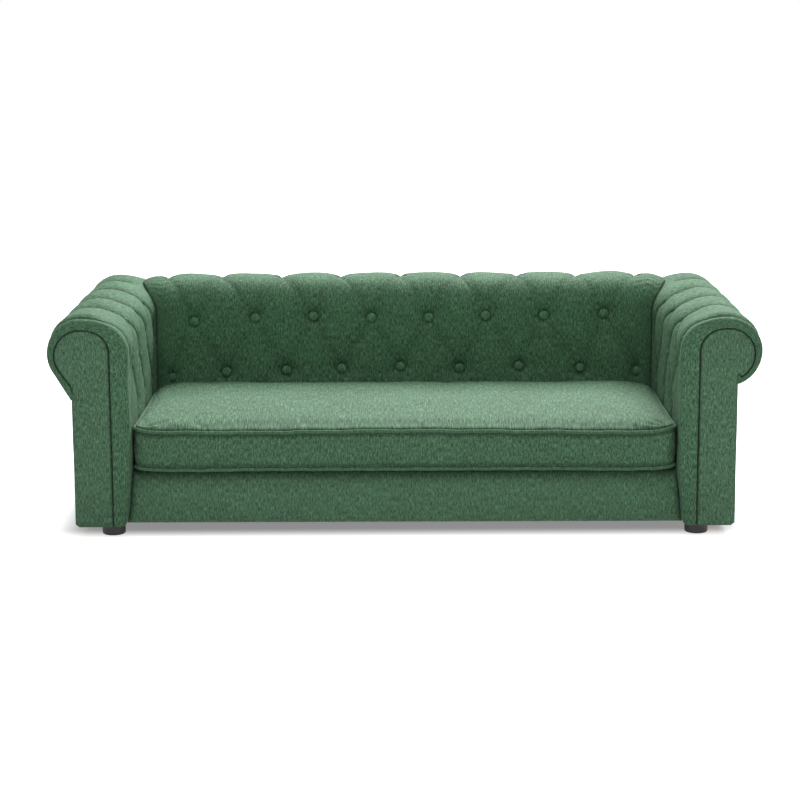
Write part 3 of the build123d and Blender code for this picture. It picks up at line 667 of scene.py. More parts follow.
def back_tufting():
    """Folds and buttons of the back: one row of buttons in the crest's notches, and two down the face."""
    fold, dimple, pitch = sizes().back_fold, sizes().dimple, 2 * HALF_PITCH
    tufts = Tufting(7)
    low, middle = 0.100, 0.200
    long_arc, short_arc, short_of_crest = 0.0693, 0.0393, 0.004
    crest = BACK_SHOULDER - PAD_FOOT + long_arc + short_arc - short_of_crest
    lows = [(low + dz * 1e-3, along_cover((i - 4) * pitch + dx * 1e-3)) for i, (dx, dz) in enumerate(BACK_LOW)]
    middles = [(middle + dz * 1e-3, (i - 3.5) * pitch + dx * 1e-3) for i, (dx, dz) in enumerate(BACK_MIDDLE)]
    crests = [(i - 4) * pitch + dx * 1e-3 for i, dx in enumerate(BACK_CREST)]
    for i, x in enumerate(crests):
        tufts.fold((crest - 0.002, x), (crest + 0.150, x), (1.15 * fold, 0.5 * fold), 0.30, 1.1)
        tufts.fold((crest, x), (crest - 0.024, x - 0.006), (1.15 * fold, 0.55 * fold), 0.50, 0.6)
        for near in (i - 1, i):
            if 0 <= near < len(middles):
                sharp = 0.24 if near == i - 1 or i in (2, 5) else 0.16
                tufts.fold((crest - 0.018, x - 0.004), middles[near], (0.50 * fold, 0.28 * fold), sharp, 1.2)
        tufts.button(crest + 0.002, x, dimple * 1.30, 0.013)
    tufts.fold((crest - 0.004, crests[5] + 0.006), (middle + 0.02, middles[5][1] - 0.006), (0.0035, 0.0020), 0.8, 0.4)
    for i, (start, start_x), (stop, stop_x), depths in (
        (0, (crest - 0.05, -0.022), (middle + 0.012, -0.005), (0.0012, 0.0030)),
        (1, (crest - 0.03, 0.018), (middle + 0.015, 0.004), (0.0012, 0.0024)),
        (4, (middle - 0.008, -0.008), (middle - 0.03, -0.028), (0.0022, 0.0006)),
    ):
        x = middles[i][1]
        tufts.fold((start, x + start_x), (stop, x + stop_x), depths, 0.7, 0.4)
    for i, place in enumerate(middles):
        for near in (i, i + 1):
            tufts.fold(place, lows[near], (0.0050, 0.0040), 0.10, 1.3)
        tufts.button(*place, dimple)
    for s, x in lows:
        tufts.fold((s, x), (0.0, x), (0.0036, 0.0022), 0.3, 0.9)
        tufts.button(s, x, dimple)
    return tufts


def shoulder_at(height):
    """How far out from its inner face an arm's outline lies at each height."""
    counts = (20, 40, 30, 2, 2)
    outline = outer_scroll(ARM_SHOULDER, ARM_TOP, ARM_NOTCH[1], PAD_FOOT).points(counts)
    rising = outline[: sum(counts[:3]) - 5]
    return np.interp(height, rising[:, 1], rising[:, 0], right=CREST)


def back_pad():
    """The back's tufted cover, from the deck over the roll, its ends drawn out over the arms' shoulders."""
    cell = sizes().cell * 1.1
    outer = outer_scroll(BACK_SHOULDER, BACK_TOP, BACK_NOTCH, PAD_FOOT)
    counts = outer.counts(cell)
    outside = tucked(outer.points(counts))
    normal = outward(outside)
    along = lengths_along(outside)
    tufts = back_tufting()
    rows = refined(-END_START, END_START, cell, [start[1] for start, *_ in tufts.folds if start[0] > 0.3])
    steps = 30
    angle = np.arange(1, steps + 1) / steps * pi / 2
    turned, beyond = 1 - np.cos(angle), END_START + END_REACH * angle
    inset = np.concatenate([turned[::-1], np.zeros(len(rows)), turned])
    s, t = np.meshgrid(along, np.concatenate([-beyond[::-1], rows, beyond]), indexing="ij")
    crest_s = along[sum(counts[:3])]
    above = ramp(s - 0.13, crest_s - 0.13) ** 1.5
    roll_end = ramp(along[-3] - s, 0.02)
    ends = 1 - inset
    drop = inset * (0.003 + 0.0155 * above) + tufts.depth(s, t) * roll_end * (0.3 + 0.7 * ends)
    drop += tufts.puckers(s, t, 0.0004) * ends
    drop -= ripple(s, t, 5, 0.12, 0.0008) * ends * roll_end
    drop += (0.0020 + 0.0013 * ramp(-t, 0.45)) * above * roll_end
    corner = ramp(np.abs(t) - (BACK_HALF - 0.05), 0.05)
    drop += 0.0009 * np.sin(s * 420 + 2 * np.sin(t * 90)) * corner * above
    shell = outside[:, None] - normal[:, None] * drop[..., None]
    cheek = np.interp(shell[..., 0], [0.015, 0.035, 0.075], [0.012, 0.022, CHEEK])
    width = BACK_HALF + np.clip(shoulder_at(shell[..., 1]) - 0.0002, 0, cheek)
    points = np.stack([across_back(t, width), BACK_FACE + shell[..., 0], shell[..., 1]], -1)
    middle = np.array([0, BACK_FACE + CREST - 0.01, 0.28])
    normals = grid_normals(points, (points - middle) * np.array([0.0, 1, 1]))
    body, closed, source = shell_between(points, points - normals * sizes().cloth)
    # Painted shade in the back's creases and the buttons' pockets
    cloth = np.stack([t, s, tufts.shade(s, t) * ends * roll_end], -1).reshape(-1, 3)[source]
    piece = make_piece("back_cover", body, closed, cloth)
    dress(piece, chenille("tufted"), FRAME_BODY, "tufted_chenille", "back_tufted_pad")
    seats = []
    for place_s, place_t, _, pocket in tufts.buttons:
        raised = -0.0050 if pocket < 0.015 else 0.0008
        (out, up), facing_way = tufts.seat(place_s, place_t, outside, normal, along, raised)
        x = float(across_back(place_t, BACK_HALF + (CHEEK if place_s > crest_s - 0.05 else 0)))
        seats.append((Vector((x, BACK_FACE + out, up)), Vector((0, *facing_way))))
    build_buttons("back_covered_buttons", seats, "back_buttons", 31)


# ------------------------------------------------------------------ buttons


def button_form():
    """A covered button: a domed face, a soft edge and a flat back."""
    radius, rise = sizes().button, 0.0042
    profile = [(0, -0.0022)]
    profile += [(radius * 0.55, -0.0022), (radius * 0.86, -0.0018), (radius * 0.97, -0.0004)]
    for i in range(9):
        angle = i / 8 * pi / 2
        profile.append((max(radius * cos(angle) ** 0.8, 1e-4), 0.0006 + rise * sin(angle) ** 1.1))
    profile[-1] = (radius * 0.08, profile[-1][1])
    profile.append((0, 0.0006 + rise))
    return lathe(profile, 28)


def build_buttons(name, seats, node, seed):
    """Covered buttons at their seats, each sewn in at a slight tilt of its own."""
    random = np.random.default_rng(seed)
    form, faces = button_form()
    parts = []
    for place, facing in seats:
        turn = facing.to_track_quat("Z", "Y").to_matrix().to_3x3()
        tilt = Euler(random.uniform(-0.13, 0.13, 2).tolist() + [0]).to_matrix()
        around = np.array(turn @ tilt)
        parts.append((form @ around.T + np.array(place), faces, form[:, :2] + random.uniform(0, 1, 2)))
    piece = make_piece(name, *joined(parts))
    dress(piece, chenille("button"), FRAME_BODY, "button_chenille", node)


# ------------------------------------------------------------------ panels


def distance_to(points, outline):
    """Distance from each point to the nearest place on an open or closed line of points."""
    start, stop = outline[:-1], outline[1:]
    run = stop - start
    length = np.maximum((run**2).sum(1), 1e-14)
    best = np.full(len(points), 1.0)
    for chunk in range(0, len(points), 4000):
        some = points[chunk : chunk + 4000, None] - start
        share = ramp((some * run).sum(-1), length)
        off = np.linalg.norm(some - share[..., None] * run, axis=-1)
        best[chunk : chunk + 4000] = off.min(1)
    return best


def across_sides(left, right, share):
    """A grid of points between two lines, at the given shares of the way."""
    return left[:, None] + (right - left)[:, None] * share[None, :, None]


def crowded(count, part=1.0):
    """Shares from 0 to 1, closer together near both ends."""
    share = np.linspace(0, 1, count)
    return (1 - np.cos(share * pi)) / 2 * part + share * (1 - part)


def scroll_sides(scroll, cell, stem):
    """The rising and the falling side of a rolled outline, with as many points on each."""
    counts = scroll.counts(cell)
    line = scroll.points(counts)
    crest = sum(counts[:3])
    left, fall = line[: crest + 1], line[crest:][::-1]
    upright = np.stack([np.full(stem, SIDE), np.linspace(scroll.foot, fall[0, 1], stem, False)], 1)
    right = np.concatenate([upright, fall])
    at, want = (lengths_along(side) / lengths_along(side)[-1] for side in (right, left))
    right = np.stack([np.interp(want, at, right[:, 0]), np.interp(want, at, right[:, 1])], 1)
    return left[:-2], right[:-2]


def padded_panel(flat, outline, thickness, edge, dome, seed, roughness=0.0003):
    """Height of a padded panel's face over its flat back, rounded over at its outline."""
    off = distance_to(flat.reshape(-1, 2), outline).reshape(flat.shape[:2])
    rim = ramp(off, edge)
    height = (thickness - edge) + edge * arc(rim)
    height += dome * (1 - np.exp(-off / 0.022))
    height += ripple(flat[..., 0], flat[..., 1], seed, 0.10, roughness) * rim
    return height


def facing(side, front):
    """The flat upholstered facing at one end of an arm."""
    name = f"{side_name(side)}_arm_{'front' if front else 'rear'}"
    left, right = scroll_sides(seam_scroll(ARM_SHOULDER, ARM_TOP, SEAM_NOTCH[side], SOFT_BOTTOM), 0.004, 40)
    pull = 0.006 * (1 - arc(ramp(left[:, 1] - SOFT_BOTTOM, 0.010)))
    left[:, 0] += pull * 0.2
    right[:, 0] -= pull
    flat = across_sides(left, right, crowded(34))
    outline = np.concatenate([left, right[::-1], left[:1]])
    height = padded_panel(flat, outline, thickness=0.0072, edge=0.0034, dome=0.0008, seed=41 + side + 5 * front)
    off = distance_to(flat.reshape(-1, 2), outline)
    centre = flat.mean(1, keepdims=True)
    half_width = np.linalg.norm(flat - centre, axis=-1, keepdims=True).max(1, keepdims=True)
    flat = centre + (flat - centre) * (1 - SEAM_GAP / np.maximum(half_width, 0.004))
    way = -1 if front else 1
    face = np.stack([side * (ARM_FACE + flat[..., 0]), way * FACING_PLANE + way * height, flat[..., 1]], -1)
    rear = face.copy()
    rear[..., 1] = way * FACING_PLANE
    body, closed, source = shell_between(face, rear)
    cloth = flat.reshape(-1, 2) + np.array([0.3 * side, 0.7 * front])
    # Painted shade: a thin dark line along the facing's edge, in the seam's gap
    piece = make_piece(f"{name}_facing_cover", body, closed, np.column_stack([cloth, bell(off, 0.0014)])[source])
    dress(piece, chenille("panel"), FRAME_BODY, "panel_chenille", f"{name}_facing")


def flat_panel(name, corners, axes, thickness, edge, node, look, seed, slot="panel_chenille", dome=0.0008,
               top_roll=1.0, pull=0.0025, top_shade=0.0):
    """A padded panel over a board.

    corners are (low start, low stop, high start, high stop, low, high) in its plane, and axes its origin and its
    ways across, up and out.
    """
    a0, a1, b0, b1, low, high = corners
    rows = crowded(max(8, int((high - low) / 0.004)), 0.35)
    left = np.stack([a0 + (b0 - a0) * rows, low + (high - low) * rows], 1)
    right = np.stack([a1 + (b1 - a1) * rows, low + (high - low) * rows], 1)
    flat = across_sides(left, right, crowded(max(10, int((a1 - a0) / 0.005)), 0.35))
    outline = np.concatenate([left, right[::-1], left[:1]])
    soft = max(0.006, edge)
    side_off = np.minimum(flat[..., 0] - left[:, :1], right[:, :1] - flat[..., 0])
    top_off = np.minimum(flat[..., 1] - low, high - flat[..., 1])
    tight = np.clip(1 - side_off / soft, 0, 1) * np.clip(1 - top_off / soft, 0, 1)
    height = padded_panel(flat, outline, thickness, edge, dome, seed)
    rolled = ramp((high - flat[..., 1]) * top_roll, edge)
    height = np.minimum(height, thickness - edge + (edge + dome) * arc(rolled))
    middle = np.array([(a0 + a1) / 2, (low + high) / 2])
    inward = (middle - flat) / np.maximum(np.linalg.norm(middle - flat, axis=-1, keepdims=True), 0.001)
    flat = flat + inward * (tight * pull)[..., None]
    origin, across, upward, outwards = np.array(axes, float)
    back = origin + flat[..., :1] * across + flat[..., 1:] * upward
    body, closed, source = shell_between(back + height[..., None] * outwards, back)
    # Painted shadow: top_shade darkens a band along the panel's top edge, where the cushion overhangs the base front
    under = top_shade * bell(high - flat[..., 1].ravel(), 0.016)
    cloth = np.column_stack([flat.reshape(-1, 2) + seed * 0.37, under])[source]
    piece = make_piece(name, body, closed, cloth)
    dress(piece, look, FRAME_BODY, slot, node)


def end_facing(side):
    """The plain facing that closes one end of the back, beside the arm."""
    name = side_name(side)
    low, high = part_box(f"back_{name}_end_facing")
    left, right = scroll_sides(seam_scroll(BACK_SHOULDER, BACK_TOP, BACK_SEAM_NOTCH, 0.0275), 0.005, 30)
    clear_of_base = LEG_REAR + 0.0004 - BACK_FACE
    left[:, 0] = np.where(left[:, 1] < PAD_FOOT, np.maximum(left[:, 0], clear_of_base), left[:, 0])
    flat = across_sides(left, right, crowded(20))
    outline = np.concatenate([left, right[::-1], left[:1]])
    height = padded_panel(
        flat, outline, thickness=high.x - low.x, edge=0.002, dome=0.0, seed=81 + side, roughness=0.0001
    )
    base = low.x if side > 0 else high.x
    face = np.stack([base + side * height, BACK_FACE + flat[..., 0], flat[..., 1]], -1)
    rear = face.copy()
    rear[..., 0] = base
    body, closed, source = shell_between(face, rear)
    piece = make_piece(f"back_{name}_end_cover", body, closed, flat.reshape(-1, 2)[source])
    dress(piece, chenille("panel"), FRAME_BODY, "panel_chenille", f"back_{name}_end_facing")


# ------------------------------------------------------------------ cushion


def rounded_plan(across, deep, front_corner, rear_corner, columns, rows):
    """A grid over a rounded rectangle about the origin, with the corners' cells fanned out in the arcs."""
    crowd = 0.70
    x, y = np.linspace(-1, 1, columns), np.linspace(-1, 1, rows)
    x = across * ((1 - crowd) * x + crowd * x * (3 - x * x) / 2)
    y = deep * ((1 - crowd) * y + crowd * y * (3 - y * y) / 2)
    gx, gy = np.meshgrid(x, y, indexing="ij")
    corner = np.where(gy < 0, front_corner, rear_corner)
    p = ramp(np.abs(gx) - (across - corner), corner)
    q = ramp(np.abs(gy) - (deep - corner), corner)
    inside = (p > 0) & (q > 0)
    fx = across - corner + corner * p * np.sqrt(1 - q**2 / 2)
    fy = deep - corner + corner * q * np.sqrt(1 - p**2 / 2)
    gx = np.where(inside, np.sign(gx) * fx, gx)
    gy = np.where(inside, np.sign(gy) * fy, gy)
    return gx, gy


def rim_index(columns, rows):
    """The grid's outer ring of points, in order, starting at the front left and going right."""
    ring = [(i, 0) for i in range(columns)]
    ring += [(columns - 1, j) for j in range(1, rows)]
    ring += [(i, rows - 1) for i in range(columns - 2, -1, -1)]
    ring += [(0, j) for j in range(rows - 2, 0, -1)]
    return np.array(ring)


class CushionPlan:
    """The seat cushion's plan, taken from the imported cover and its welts."""

    def __init__(self, columns=221, rows=99, levels=19):
        low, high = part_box("cushion_welts")
        self.half = high.x
        self.front, self.rear = low.y, high.y
        self.middle = (self.front + self.rear) / 2
        self.deep = (self.rear - self.front) / 2
        self.low_welt = low.z + sizes().welt
        self.high_welt = high.z - sizes().welt
        cover_low, cover_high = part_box("cushion_cover")
        self.bottom, self.top = cover_low.z, cover_high.z
        self.columns, self.rows, self.levels = columns, rows, levels
        ring = rim_index(columns, rows)
        self.rim = ring[:, 0] * rows + ring[:, 1]

    def ring(self, inset):
        return np.stack(self.grid(inset), -1).reshape(-1, 2)[self.rim]

    def grid(self, inset):
        gx, gy = rounded_plan(
            self.half - inset, self.deep - inset, 0.020 - inset * 0.6, 0.056 - inset * 0.5, self.columns, self.rows
        )
        return gx, gy + self.middle

    def off_edge(self, inset):
        """How far each point of the grid lies inside its outer ring."""
        ring = self.ring(inset)
        flat = np.stack(self.grid(inset), -1).reshape(-1, 2)
        return distance_to(flat, np.concatenate([ring, ring[:1]])).reshape(self.columns, self.rows)

    def toward_front(self, y):
        return ramp(self.middle - y, self.deep) ** 2

    def sway(self, line):
        """How far the upper welt hangs below its straight line: it dips left and right of the middle."""
        x, y = line[..., 0], line[..., 1]
        dip = 0.0024 * np.sin(np.abs(x) / self.half * pi * 0.8) ** 2 + 0.0020 * bell(x - 0.37, 0.07)
        lift = 0.0055 * ramp(np.abs(x) - 0.415, 0.045) ** 1.5
        return self.toward_front(y) * (dip - lift) + 0.0005 * np.sin(x * 61 + y * 40)

    def low_sway(self, line):
        """How far the lower welt hangs below its straight line; its front corners are drawn up."""
        x = np.abs(line[..., 0])
        return self.toward_front(line[..., 1]) * (0.0012 * bell(x - 0.36, 0.07) - 0.0035 * ramp(x - 0.42, 0.04))


def cushion_top(plan):
    """The crowned top's points and their places in the cloth."""
    gx, gy = plan.grid(TOP_INSET)
    off = plan.off_edge(TOP_INSET)
    base = plan.high_welt - plan.sway(np.stack([gx, gy], -1)) * np.exp(-off / 0.03)
    steep = (1 - (1 - ramp(off, 0.0055)) ** 2.6) ** (1 / 2.6)
    slope = np.sin(ramp(off, 0.17 - 0.08 * ramp(gy - plan.middle, plan.deep)) * pi / 2)
    rise, wall = plan.top - plan.high_welt + 0.0006, 0.0078
    top = base + (rise - wall) * slope + wall * steep
    top += ripple(gx, gy, 71, 0.14, 0.0007) * ramp(off, 0.03)
    pinch = 0.0
    corners = [(x, y) for y in (plan.front, plan.rear) for x in (plan.half, -plan.half)]
    for seed, (corner_x, corner_y) in enumerate(corners, 1):
        away = np.hypot(gx - corner_x, gy - corner_y)
        angle = np.arctan2(gy - corner_y, gx - corner_x)
        pinch = pinch + 0.0011 * np.sin(angle * 19 + seed) * bell(away - 0.04, 0.022)
        top -= 0.004 * bell(away, 0.045) * ramp(off, 0.01)
    top += pinch * ramp(off, 0.006)
    # Painted shade along the seam by the piping, and a stitch line 3.5 mm inside it
    shade = 0.9 * bell(off, 0.0009) + 0.35 * bell(off - 0.0035, 0.0012)
    return np.stack([gx, gy, top], -1).reshape(-1, 3), np.stack([gx, gy * 0.40, shade], -1).reshape(-1, 3)


def cushion_boxing(plan):
    """Rings of points from the upper seam down to the lower one, and their places in the cloth."""
    edge = plan.ring(TOP_INSET)
    around = lengths_along(np.concatenate([edge, edge[:1]]))[:-1]
    points, cloth = [], []
    for share in np.linspace(0, 1, plan.levels):
        drawn = sin(share * pi) ** 0.6
        line = plan.ring(0.0052 - 0.0012 * (1 - abs(2 * share - 1) ** 6) - 0.0020 * drawn)
        z = (plan.high_welt - plan.sway(line)) * (1 - share) + (plan.low_welt - plan.low_sway(line)) * share
        out = line - np.array([0, plan.middle])
        out /= np.linalg.norm(out, axis=1)[:, None]
        swell = ripple(around, np.full(len(line), share * 0.07), 77, 0.10, 0.0006) * drawn
        near_seams = np.exp(-share / 0.12) + np.exp((share - 1) / 0.12)
        gather = 0.0003 * np.sin(around * 700 + 3 * np.sin(around * 45)) * near_seams
        points.append(np.column_stack([line + out * (swell + gather)[:, None], z]))
        down = min(share, 1 - share) * BOXING_HEIGHT
        # Painted shade along both seams by the piping, and a stitch line 7.3 mm from each seam
        seam_shade_and_stitch = 0.95 * exp(-((down / 0.0042) ** 2)) + 0.5 * (abs(down - 0.0073) < 0.001)
        cloth.append(np.stack([around, 0.5 - 0.07 * np.full(len(line), share), np.full(len(line), seam_shade_and_stitch)], 1))
    return np.concatenate(points), np.concatenate(cloth)


def cushion_underside(plan):
    """The flat underside's points and their places in the cloth."""
    gx, gy = plan.grid(UNDER_INSET)
    points = np.stack([gx, gy, np.full(gx.shape, plan.bottom + 0.0004)], -1)
    points[..., 2] += np.maximum(-plan.low_sway(points), 0)
    points[..., 2] += (plan.low_welt - plan.bottom) * np.exp(-plan.off_edge(UNDER_INSET) / 0.0035) * 0.85
    points = points.reshape(-1, 3)
    return points, points * np.array([1, 1, 0]) + np.array([1.7, 1.7, 0])


def cushion_cover(plan):
    """The cushion's cover: crowned top, drawn-in boxing and a flat underside, closed."""
    top, count = plan.columns * plan.rows, len(plan.rim)
    under = top + count * plan.levels
    loops = [plan.rim, *np.arange(top, under).reshape(-1, count), under + plan.rim]
    faces = [grid_faces(plan.columns, plan.rows), grid_faces(plan.columns, plan.rows) + under]
    for upper, lower in zip(loops, loops[1:]):
        faces.append(np.stack([upper, np.roll(upper, -1), np.roll(lower, -1), lower], 1))
    parts = zip(cushion_top(plan), cushion_boxing(plan), cushion_underside(plan))
    points, cloth = (np.concatenate(part) for part in parts)
    return points, np.concatenate(faces), cloth


def halved(values):
    """Values on a grid, with one more between each two neighbours."""
    for _ in range(2):
        between = (values[:-1] + values[1:]) / 2
        full = np.empty((len(values) + len(between), *values.shape[1:]))
        full[::2], full[1::2] = values, between
        values = full.swapaxes(0, 1)
    return values


def blown(points, faces, held, frames=20):
    """Where a closed cover settles when it is blown up against its held seams, in a short cloth simulation."""
    scene = bpy.context.scene
    mesh = bpy.data.meshes.new("settling_cover")
    mesh.from_pydata(points.tolist(), [], faces.tolist())
    tidy_mesh(mesh)
    trial = put_in_scene("settling_cover", mesh)
    trial.vertex_groups.new(name="seams").add(held.tolist(), 1.0, "REPLACE")
    cloth = trial.modifiers.new("Cloth", "CLOTH")
    cloth.point_cache.frame_start, cloth.point_cache.frame_end = 1, frames
    for label, value in (
        ("quality", 6), ("mass", 0.25), ("air_damping", 3.0), ("tension_stiffness", 18.0),
        ("compression_stiffness", 10.0), ("shear_stiffness", 6.0), ("bending_stiffness", 0.4),
        ("tension_damping", 8.0), ("compression_damping", 8.0), ("shear_damping", 8.0), ("shrink_min", -0.012),
        ("use_pressure", True), ("uniform_pressure_force", PRESSURE), ("vertex_group_mass", "seams"),
    ):
        setattr(cloth.settings, label, value)
    cloth.settings.effector_weights.gravity = 0
    for frame_number in range(1, frames + 1):
        scene.frame_set(frame_number)
    settled = trial.evaluated_get(bpy.context.evaluated_depsgraph_get())
    found = np.empty(len(points) * 3)
    settled.data.vertices.foreach_get("co", found)
    bpy.data.objects.remove(trial)
    bpy.data.meshes.remove(mesh)
    scene.frame_set(1)
    return found.reshape(-1, 3)


def settling(plan):
    """How far the filling moves each point of the cushion's cover, from a simulation on every second point."""
    coarse = CushionPlan(plan.columns // 2 + 1, plan.rows // 2 + 1, plan.levels // 2 + 1)
    points, faces, _ = cushion_cover(coarse)
    top, around = coarse.columns * coarse.rows, len(coarse.rim)
    low = top + around * coarse.levels
    held = np.concatenate([coarse.rim, top + np.arange(around), np.arange(low - around, len(points))])
    shift = blown(points, faces, held) - points
    length = np.linalg.norm(shift, axis=1)
    most = np.where(np.arange(len(points)) < top, TOP_SHIFT, BOXING_SHIFT)
    shift *= (most * np.tanh(length / most) / np.maximum(length, 1e-9))[:, None]
    upper = halved(shift[:top].reshape(coarse.columns, coarse.rows, 3))
    sides = shift[top:low].reshape(coarse.levels, around, 3)
    sides = halved(np.concatenate([sides, sides[:, :1]], 1))[:, :-1]
    return np.concatenate([upper.reshape(-1, 3), sides.reshape(-1, 3), np.zeros((plan.columns * plan.rows, 3))])


def zip_channel(points, cloth):
    """Draws the rear boxing in behind the zip, so that its tape and slider lie in the open, and paints shade into
    that recess.
    """
    low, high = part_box("cushion_zip")
    x, y, z = points[:, 0], points[:, 1], points[:, 2]
    across = ramp(high.x + 0.005 - np.abs(x), 0.005)
    middle, half = (low.z + high.z) / 2, (high.z - low.z) / 2
    up = ramp(half + 0.0042 - np.abs(z - middle), 0.0040)
    share = eased(np.where(y > low.y - 0.003, across * up, 0))
    points, cloth = points.copy(), cloth.copy()
    points[:, 1] = y + (low.y - 0.0002 - y) * share
    # Painted shade in the recess behind the zip
    cloth[:, 2] = np.maximum(cloth[:, 2], 0.8 * share)
    return points, cloth


def build_cushion():
    """The loose cushion: its cover, its two rings of piping and its foam."""
    plan = CushionPlan()
    points, faces, cloth = cushion_cover(plan)
    points = points + settling(plan)
    points, cloth = zip_channel(points, cloth)
    cover = make_piece("cushion_crowned_cover", points, faces, cloth)
    dress(cover, chenille("cushion"), CUSHION_BODY, "cushion_chenille", "cushion_cover")
    welt = sizes().welt
    parts = []
    for height, sway in ((plan.high_welt, plan.sway), (plan.low_welt, plan.low_sway)):
        line = plan.ring(welt)
        z = height - sway(line) + 0.0003 * np.sin(line[:, 0] * 130 + 2 * line[:, 1])
        parts.append(tube(np.stack([line[:, 0], line[:, 1], z], 1), welt))
    welts = make_piece("cushion_piping", *joined(parts))
    dress(welts, chenille("piping"), CUSHION_BODY, "piping_chenille", "cushion_welts")
    low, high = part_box("cushion_foam_core")
    core = make_piece("cushion_foam", *foam_block(low, high))
    dress(core, speckled("cushion foam"), CUSHION_BODY, "foam", "cushion_foam_core")


def foam_block(low, high):
    """The cut foam block inside the cover, with eased corners and a slight crown."""
    centre, half = (low + high) / 2, (high - low) / 2
    gx, gy = rounded_plan(half.x - 0.001, half.y - 0.001, 0.034, 0.034, 60, 28)
    edge = np.minimum(half.x - np.abs(gx), half.y - np.abs(gy))
    top = low.z + (high.z - low.z) * (0.80 + 0.19 * np.sin(ramp(edge, 0.15) * pi / 2))
    face = np.stack([gx + centre.x, gy + centre.y, top], -1)
    back = face.copy()
    back[..., 2] = low.z + 0.0004
    body, closed, _ = shell_between(face, back)
    return body, closed, body[:, :2]


# ------------------------------------------------------------------ zip


def build_zip():
    """The cushion's zip: woven tape with a row of coil teeth."""
    low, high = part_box("cushion_zip")
    rows, columns = 12, 240
    x = np.linspace(low.x + 0.0005, high.x - 0.0005, columns)
    z = np.linspace(low.z + 0.0005, high.z - 0.0005, rows)
    gx, gz = np.meshgrid(x, z, indexing="ij")
    face = np.stack([gx, low.y + 0.0011 + 0.00012 * np.sin(gx * 190), gz], -1)
    back = face.copy()
    back[..., 1] = low.y + 0.0002
    body, closed, _ = shell_between(face, back)
    tape = make_piece("cushion_zip_tape", body, closed, body[:, [0, 2]])
    dress(tape, speckled("zip tape"), CUSHION_BODY, "zip_tape", "cushion_zip")
    middle = (low.z + high.z) / 2
    form, form_faces = capsule(0.00062, 0.0042)
    parts, pitch, margin = [], 0.0016, 0.012
    for i in range(int((high.x - low.x - 2 * margin) / pitch)):
        at = np.array([low.x + margin + i * pitch, low.y + 0.0024 + 0.0004 * (i % 2), middle + 0.0004 * (-1) ** i])
        parts.append((form + at, form_faces, form[:, :2]))
    teeth = make_piece("cushion_zip_coil", *joined(parts))
    dress(teeth, speckled("zip coil"), CUSHION_BODY, "zip_tape")


def capsule(radius, length, count=6):
    """A short rod with rounded ends, standing along z."""
    profile = [(0, -length / 2)]
    for i in range(1, 4):
        angle = i / 3 * pi / 2
        profile.append((radius * sin(angle), -length / 2 + radius * (1 - cos(angle))))
    for i in range(3):
        angle = pi / 2 * (1 - i / 3)
        profile.append((radius * sin(angle), length / 2 - radius * (1 - cos(angle))))
    profile.append((0, length / 2))
    return lathe(profile, count)


# ------------------------------------------------------------------ node groups


GROUP_OUTPUTS = (("NodeSocketColor", "Color"), ("NodeSocketFloat", "Roughness"), ("NodeSocketFloat", "Height"))


def new_group(name, inputs):
    """A shader node group with named sockets; inputs are (kind, name, default)."""
    group = bpy.data.node_groups.new(name, "ShaderNodeTree")
    for kind, label, default in inputs:
        socket = group.interface.new_socket(label, in_out="INPUT", socket_type=kind)
        if default is not None:
            socket.default_value = default
    for kind, label in GROUP_OUTPUTS:
        group.interface.new_socket(label, in_out="OUTPUT", socket_type=kind)
    return group, group.nodes.new("NodeGroupInput").outputs, group.nodes.new("NodeGroupOutput").inputs


class Wiring:
    """Short calls for placing and linking nodes in one tree."""

    def __init__(self, tree):
        self.tree = tree

    def node(self, kind, **values):
        made = self.tree.nodes.new(kind)
        for key, value in values.items():
            setattr(made, key, value)
        return made

    def link(self, start, stop):
        self.tree.links.new(start, stop)

    def feed(self, sockets, values):
        """Links each socket to the one given for it, or sets its constant."""
        for socket, value in zip(sockets, values):
            if isinstance(value, bpy.types.NodeSocket):
                self.link(value, socket)
            else:
                socket.default_value = value

    def maths(self, operation, *values):
        made = self.node("ShaderNodeMath", operation=operation)
        self.feed(made.inputs, values)
        return made.outputs[0]

    def vector_maths(self, operation, *values):
        made = self.node("ShaderNodeVectorMath", operation=operation)
        self.feed(made.inputs, values)
        return made.outputs["Value" if operation == "LENGTH" else "Vector"]

    def scaled(self, vector, factors):
        return self.vector_maths("MULTIPLY", vector, factors)

    def noise(self, vector, scale=1.0, detail=2.0, rough=0.5, twist=0.0):
        made = self.tree.nodes.new("ShaderNodeTexNoise")
        made.inputs["Scale"].default_value = scale
        made.inputs["Detail"].default_value = detail
        made.inputs["Roughness"].default_value = rough
        made.inputs["Distortion"].default_value = twist
        self.link(vector, made.inputs["Vector"])
        return made.outputs["Fac"]

    def between(self, value, low, high, to_low=0.0, to_high=1.0):
        made = self.tree.nodes.new("ShaderNodeMapRange")
        made.interpolation_type = "SMOOTHSTEP"
        self.link(value, made.inputs["Value"])
        for label, number in (("From Min", low), ("From Max", high), ("To Min", to_low), ("To Max", to_high)):
            made.inputs[label].default_value = number
        return made.outputs["Result"]

    def outside_of(self, vector, half):
        """Distance outside a level rectangle about the origin."""
        over = self.vector_maths("SUBTRACT", self.vector_maths("ABSOLUTE", vector), (*half, 0))
        return self.vector_maths("LENGTH", self.vector_maths("MAXIMUM", over))

    def mixed(self, share, a, b, kind="MIX"):
        made = self.node("ShaderNodeMix", data_type="RGBA", blend_type=kind)
        self.feed((made.inputs[0], *made.inputs[6:8]), (share, a, b))
        return made.outputs[2]

    def seen(self):
        """1 for what the camera sees, also in a mirror or through glass, and 0 for what only lights the scene."""
        ray = self.node("ShaderNodeLightPath").outputs
        mirrored = self.maths("MAXIMUM", ray["Is Glossy Ray"], ray["Is Transmission Ray"])
        return self.maths("MAXIMUM", ray["Is Camera Ray"], mirrored)


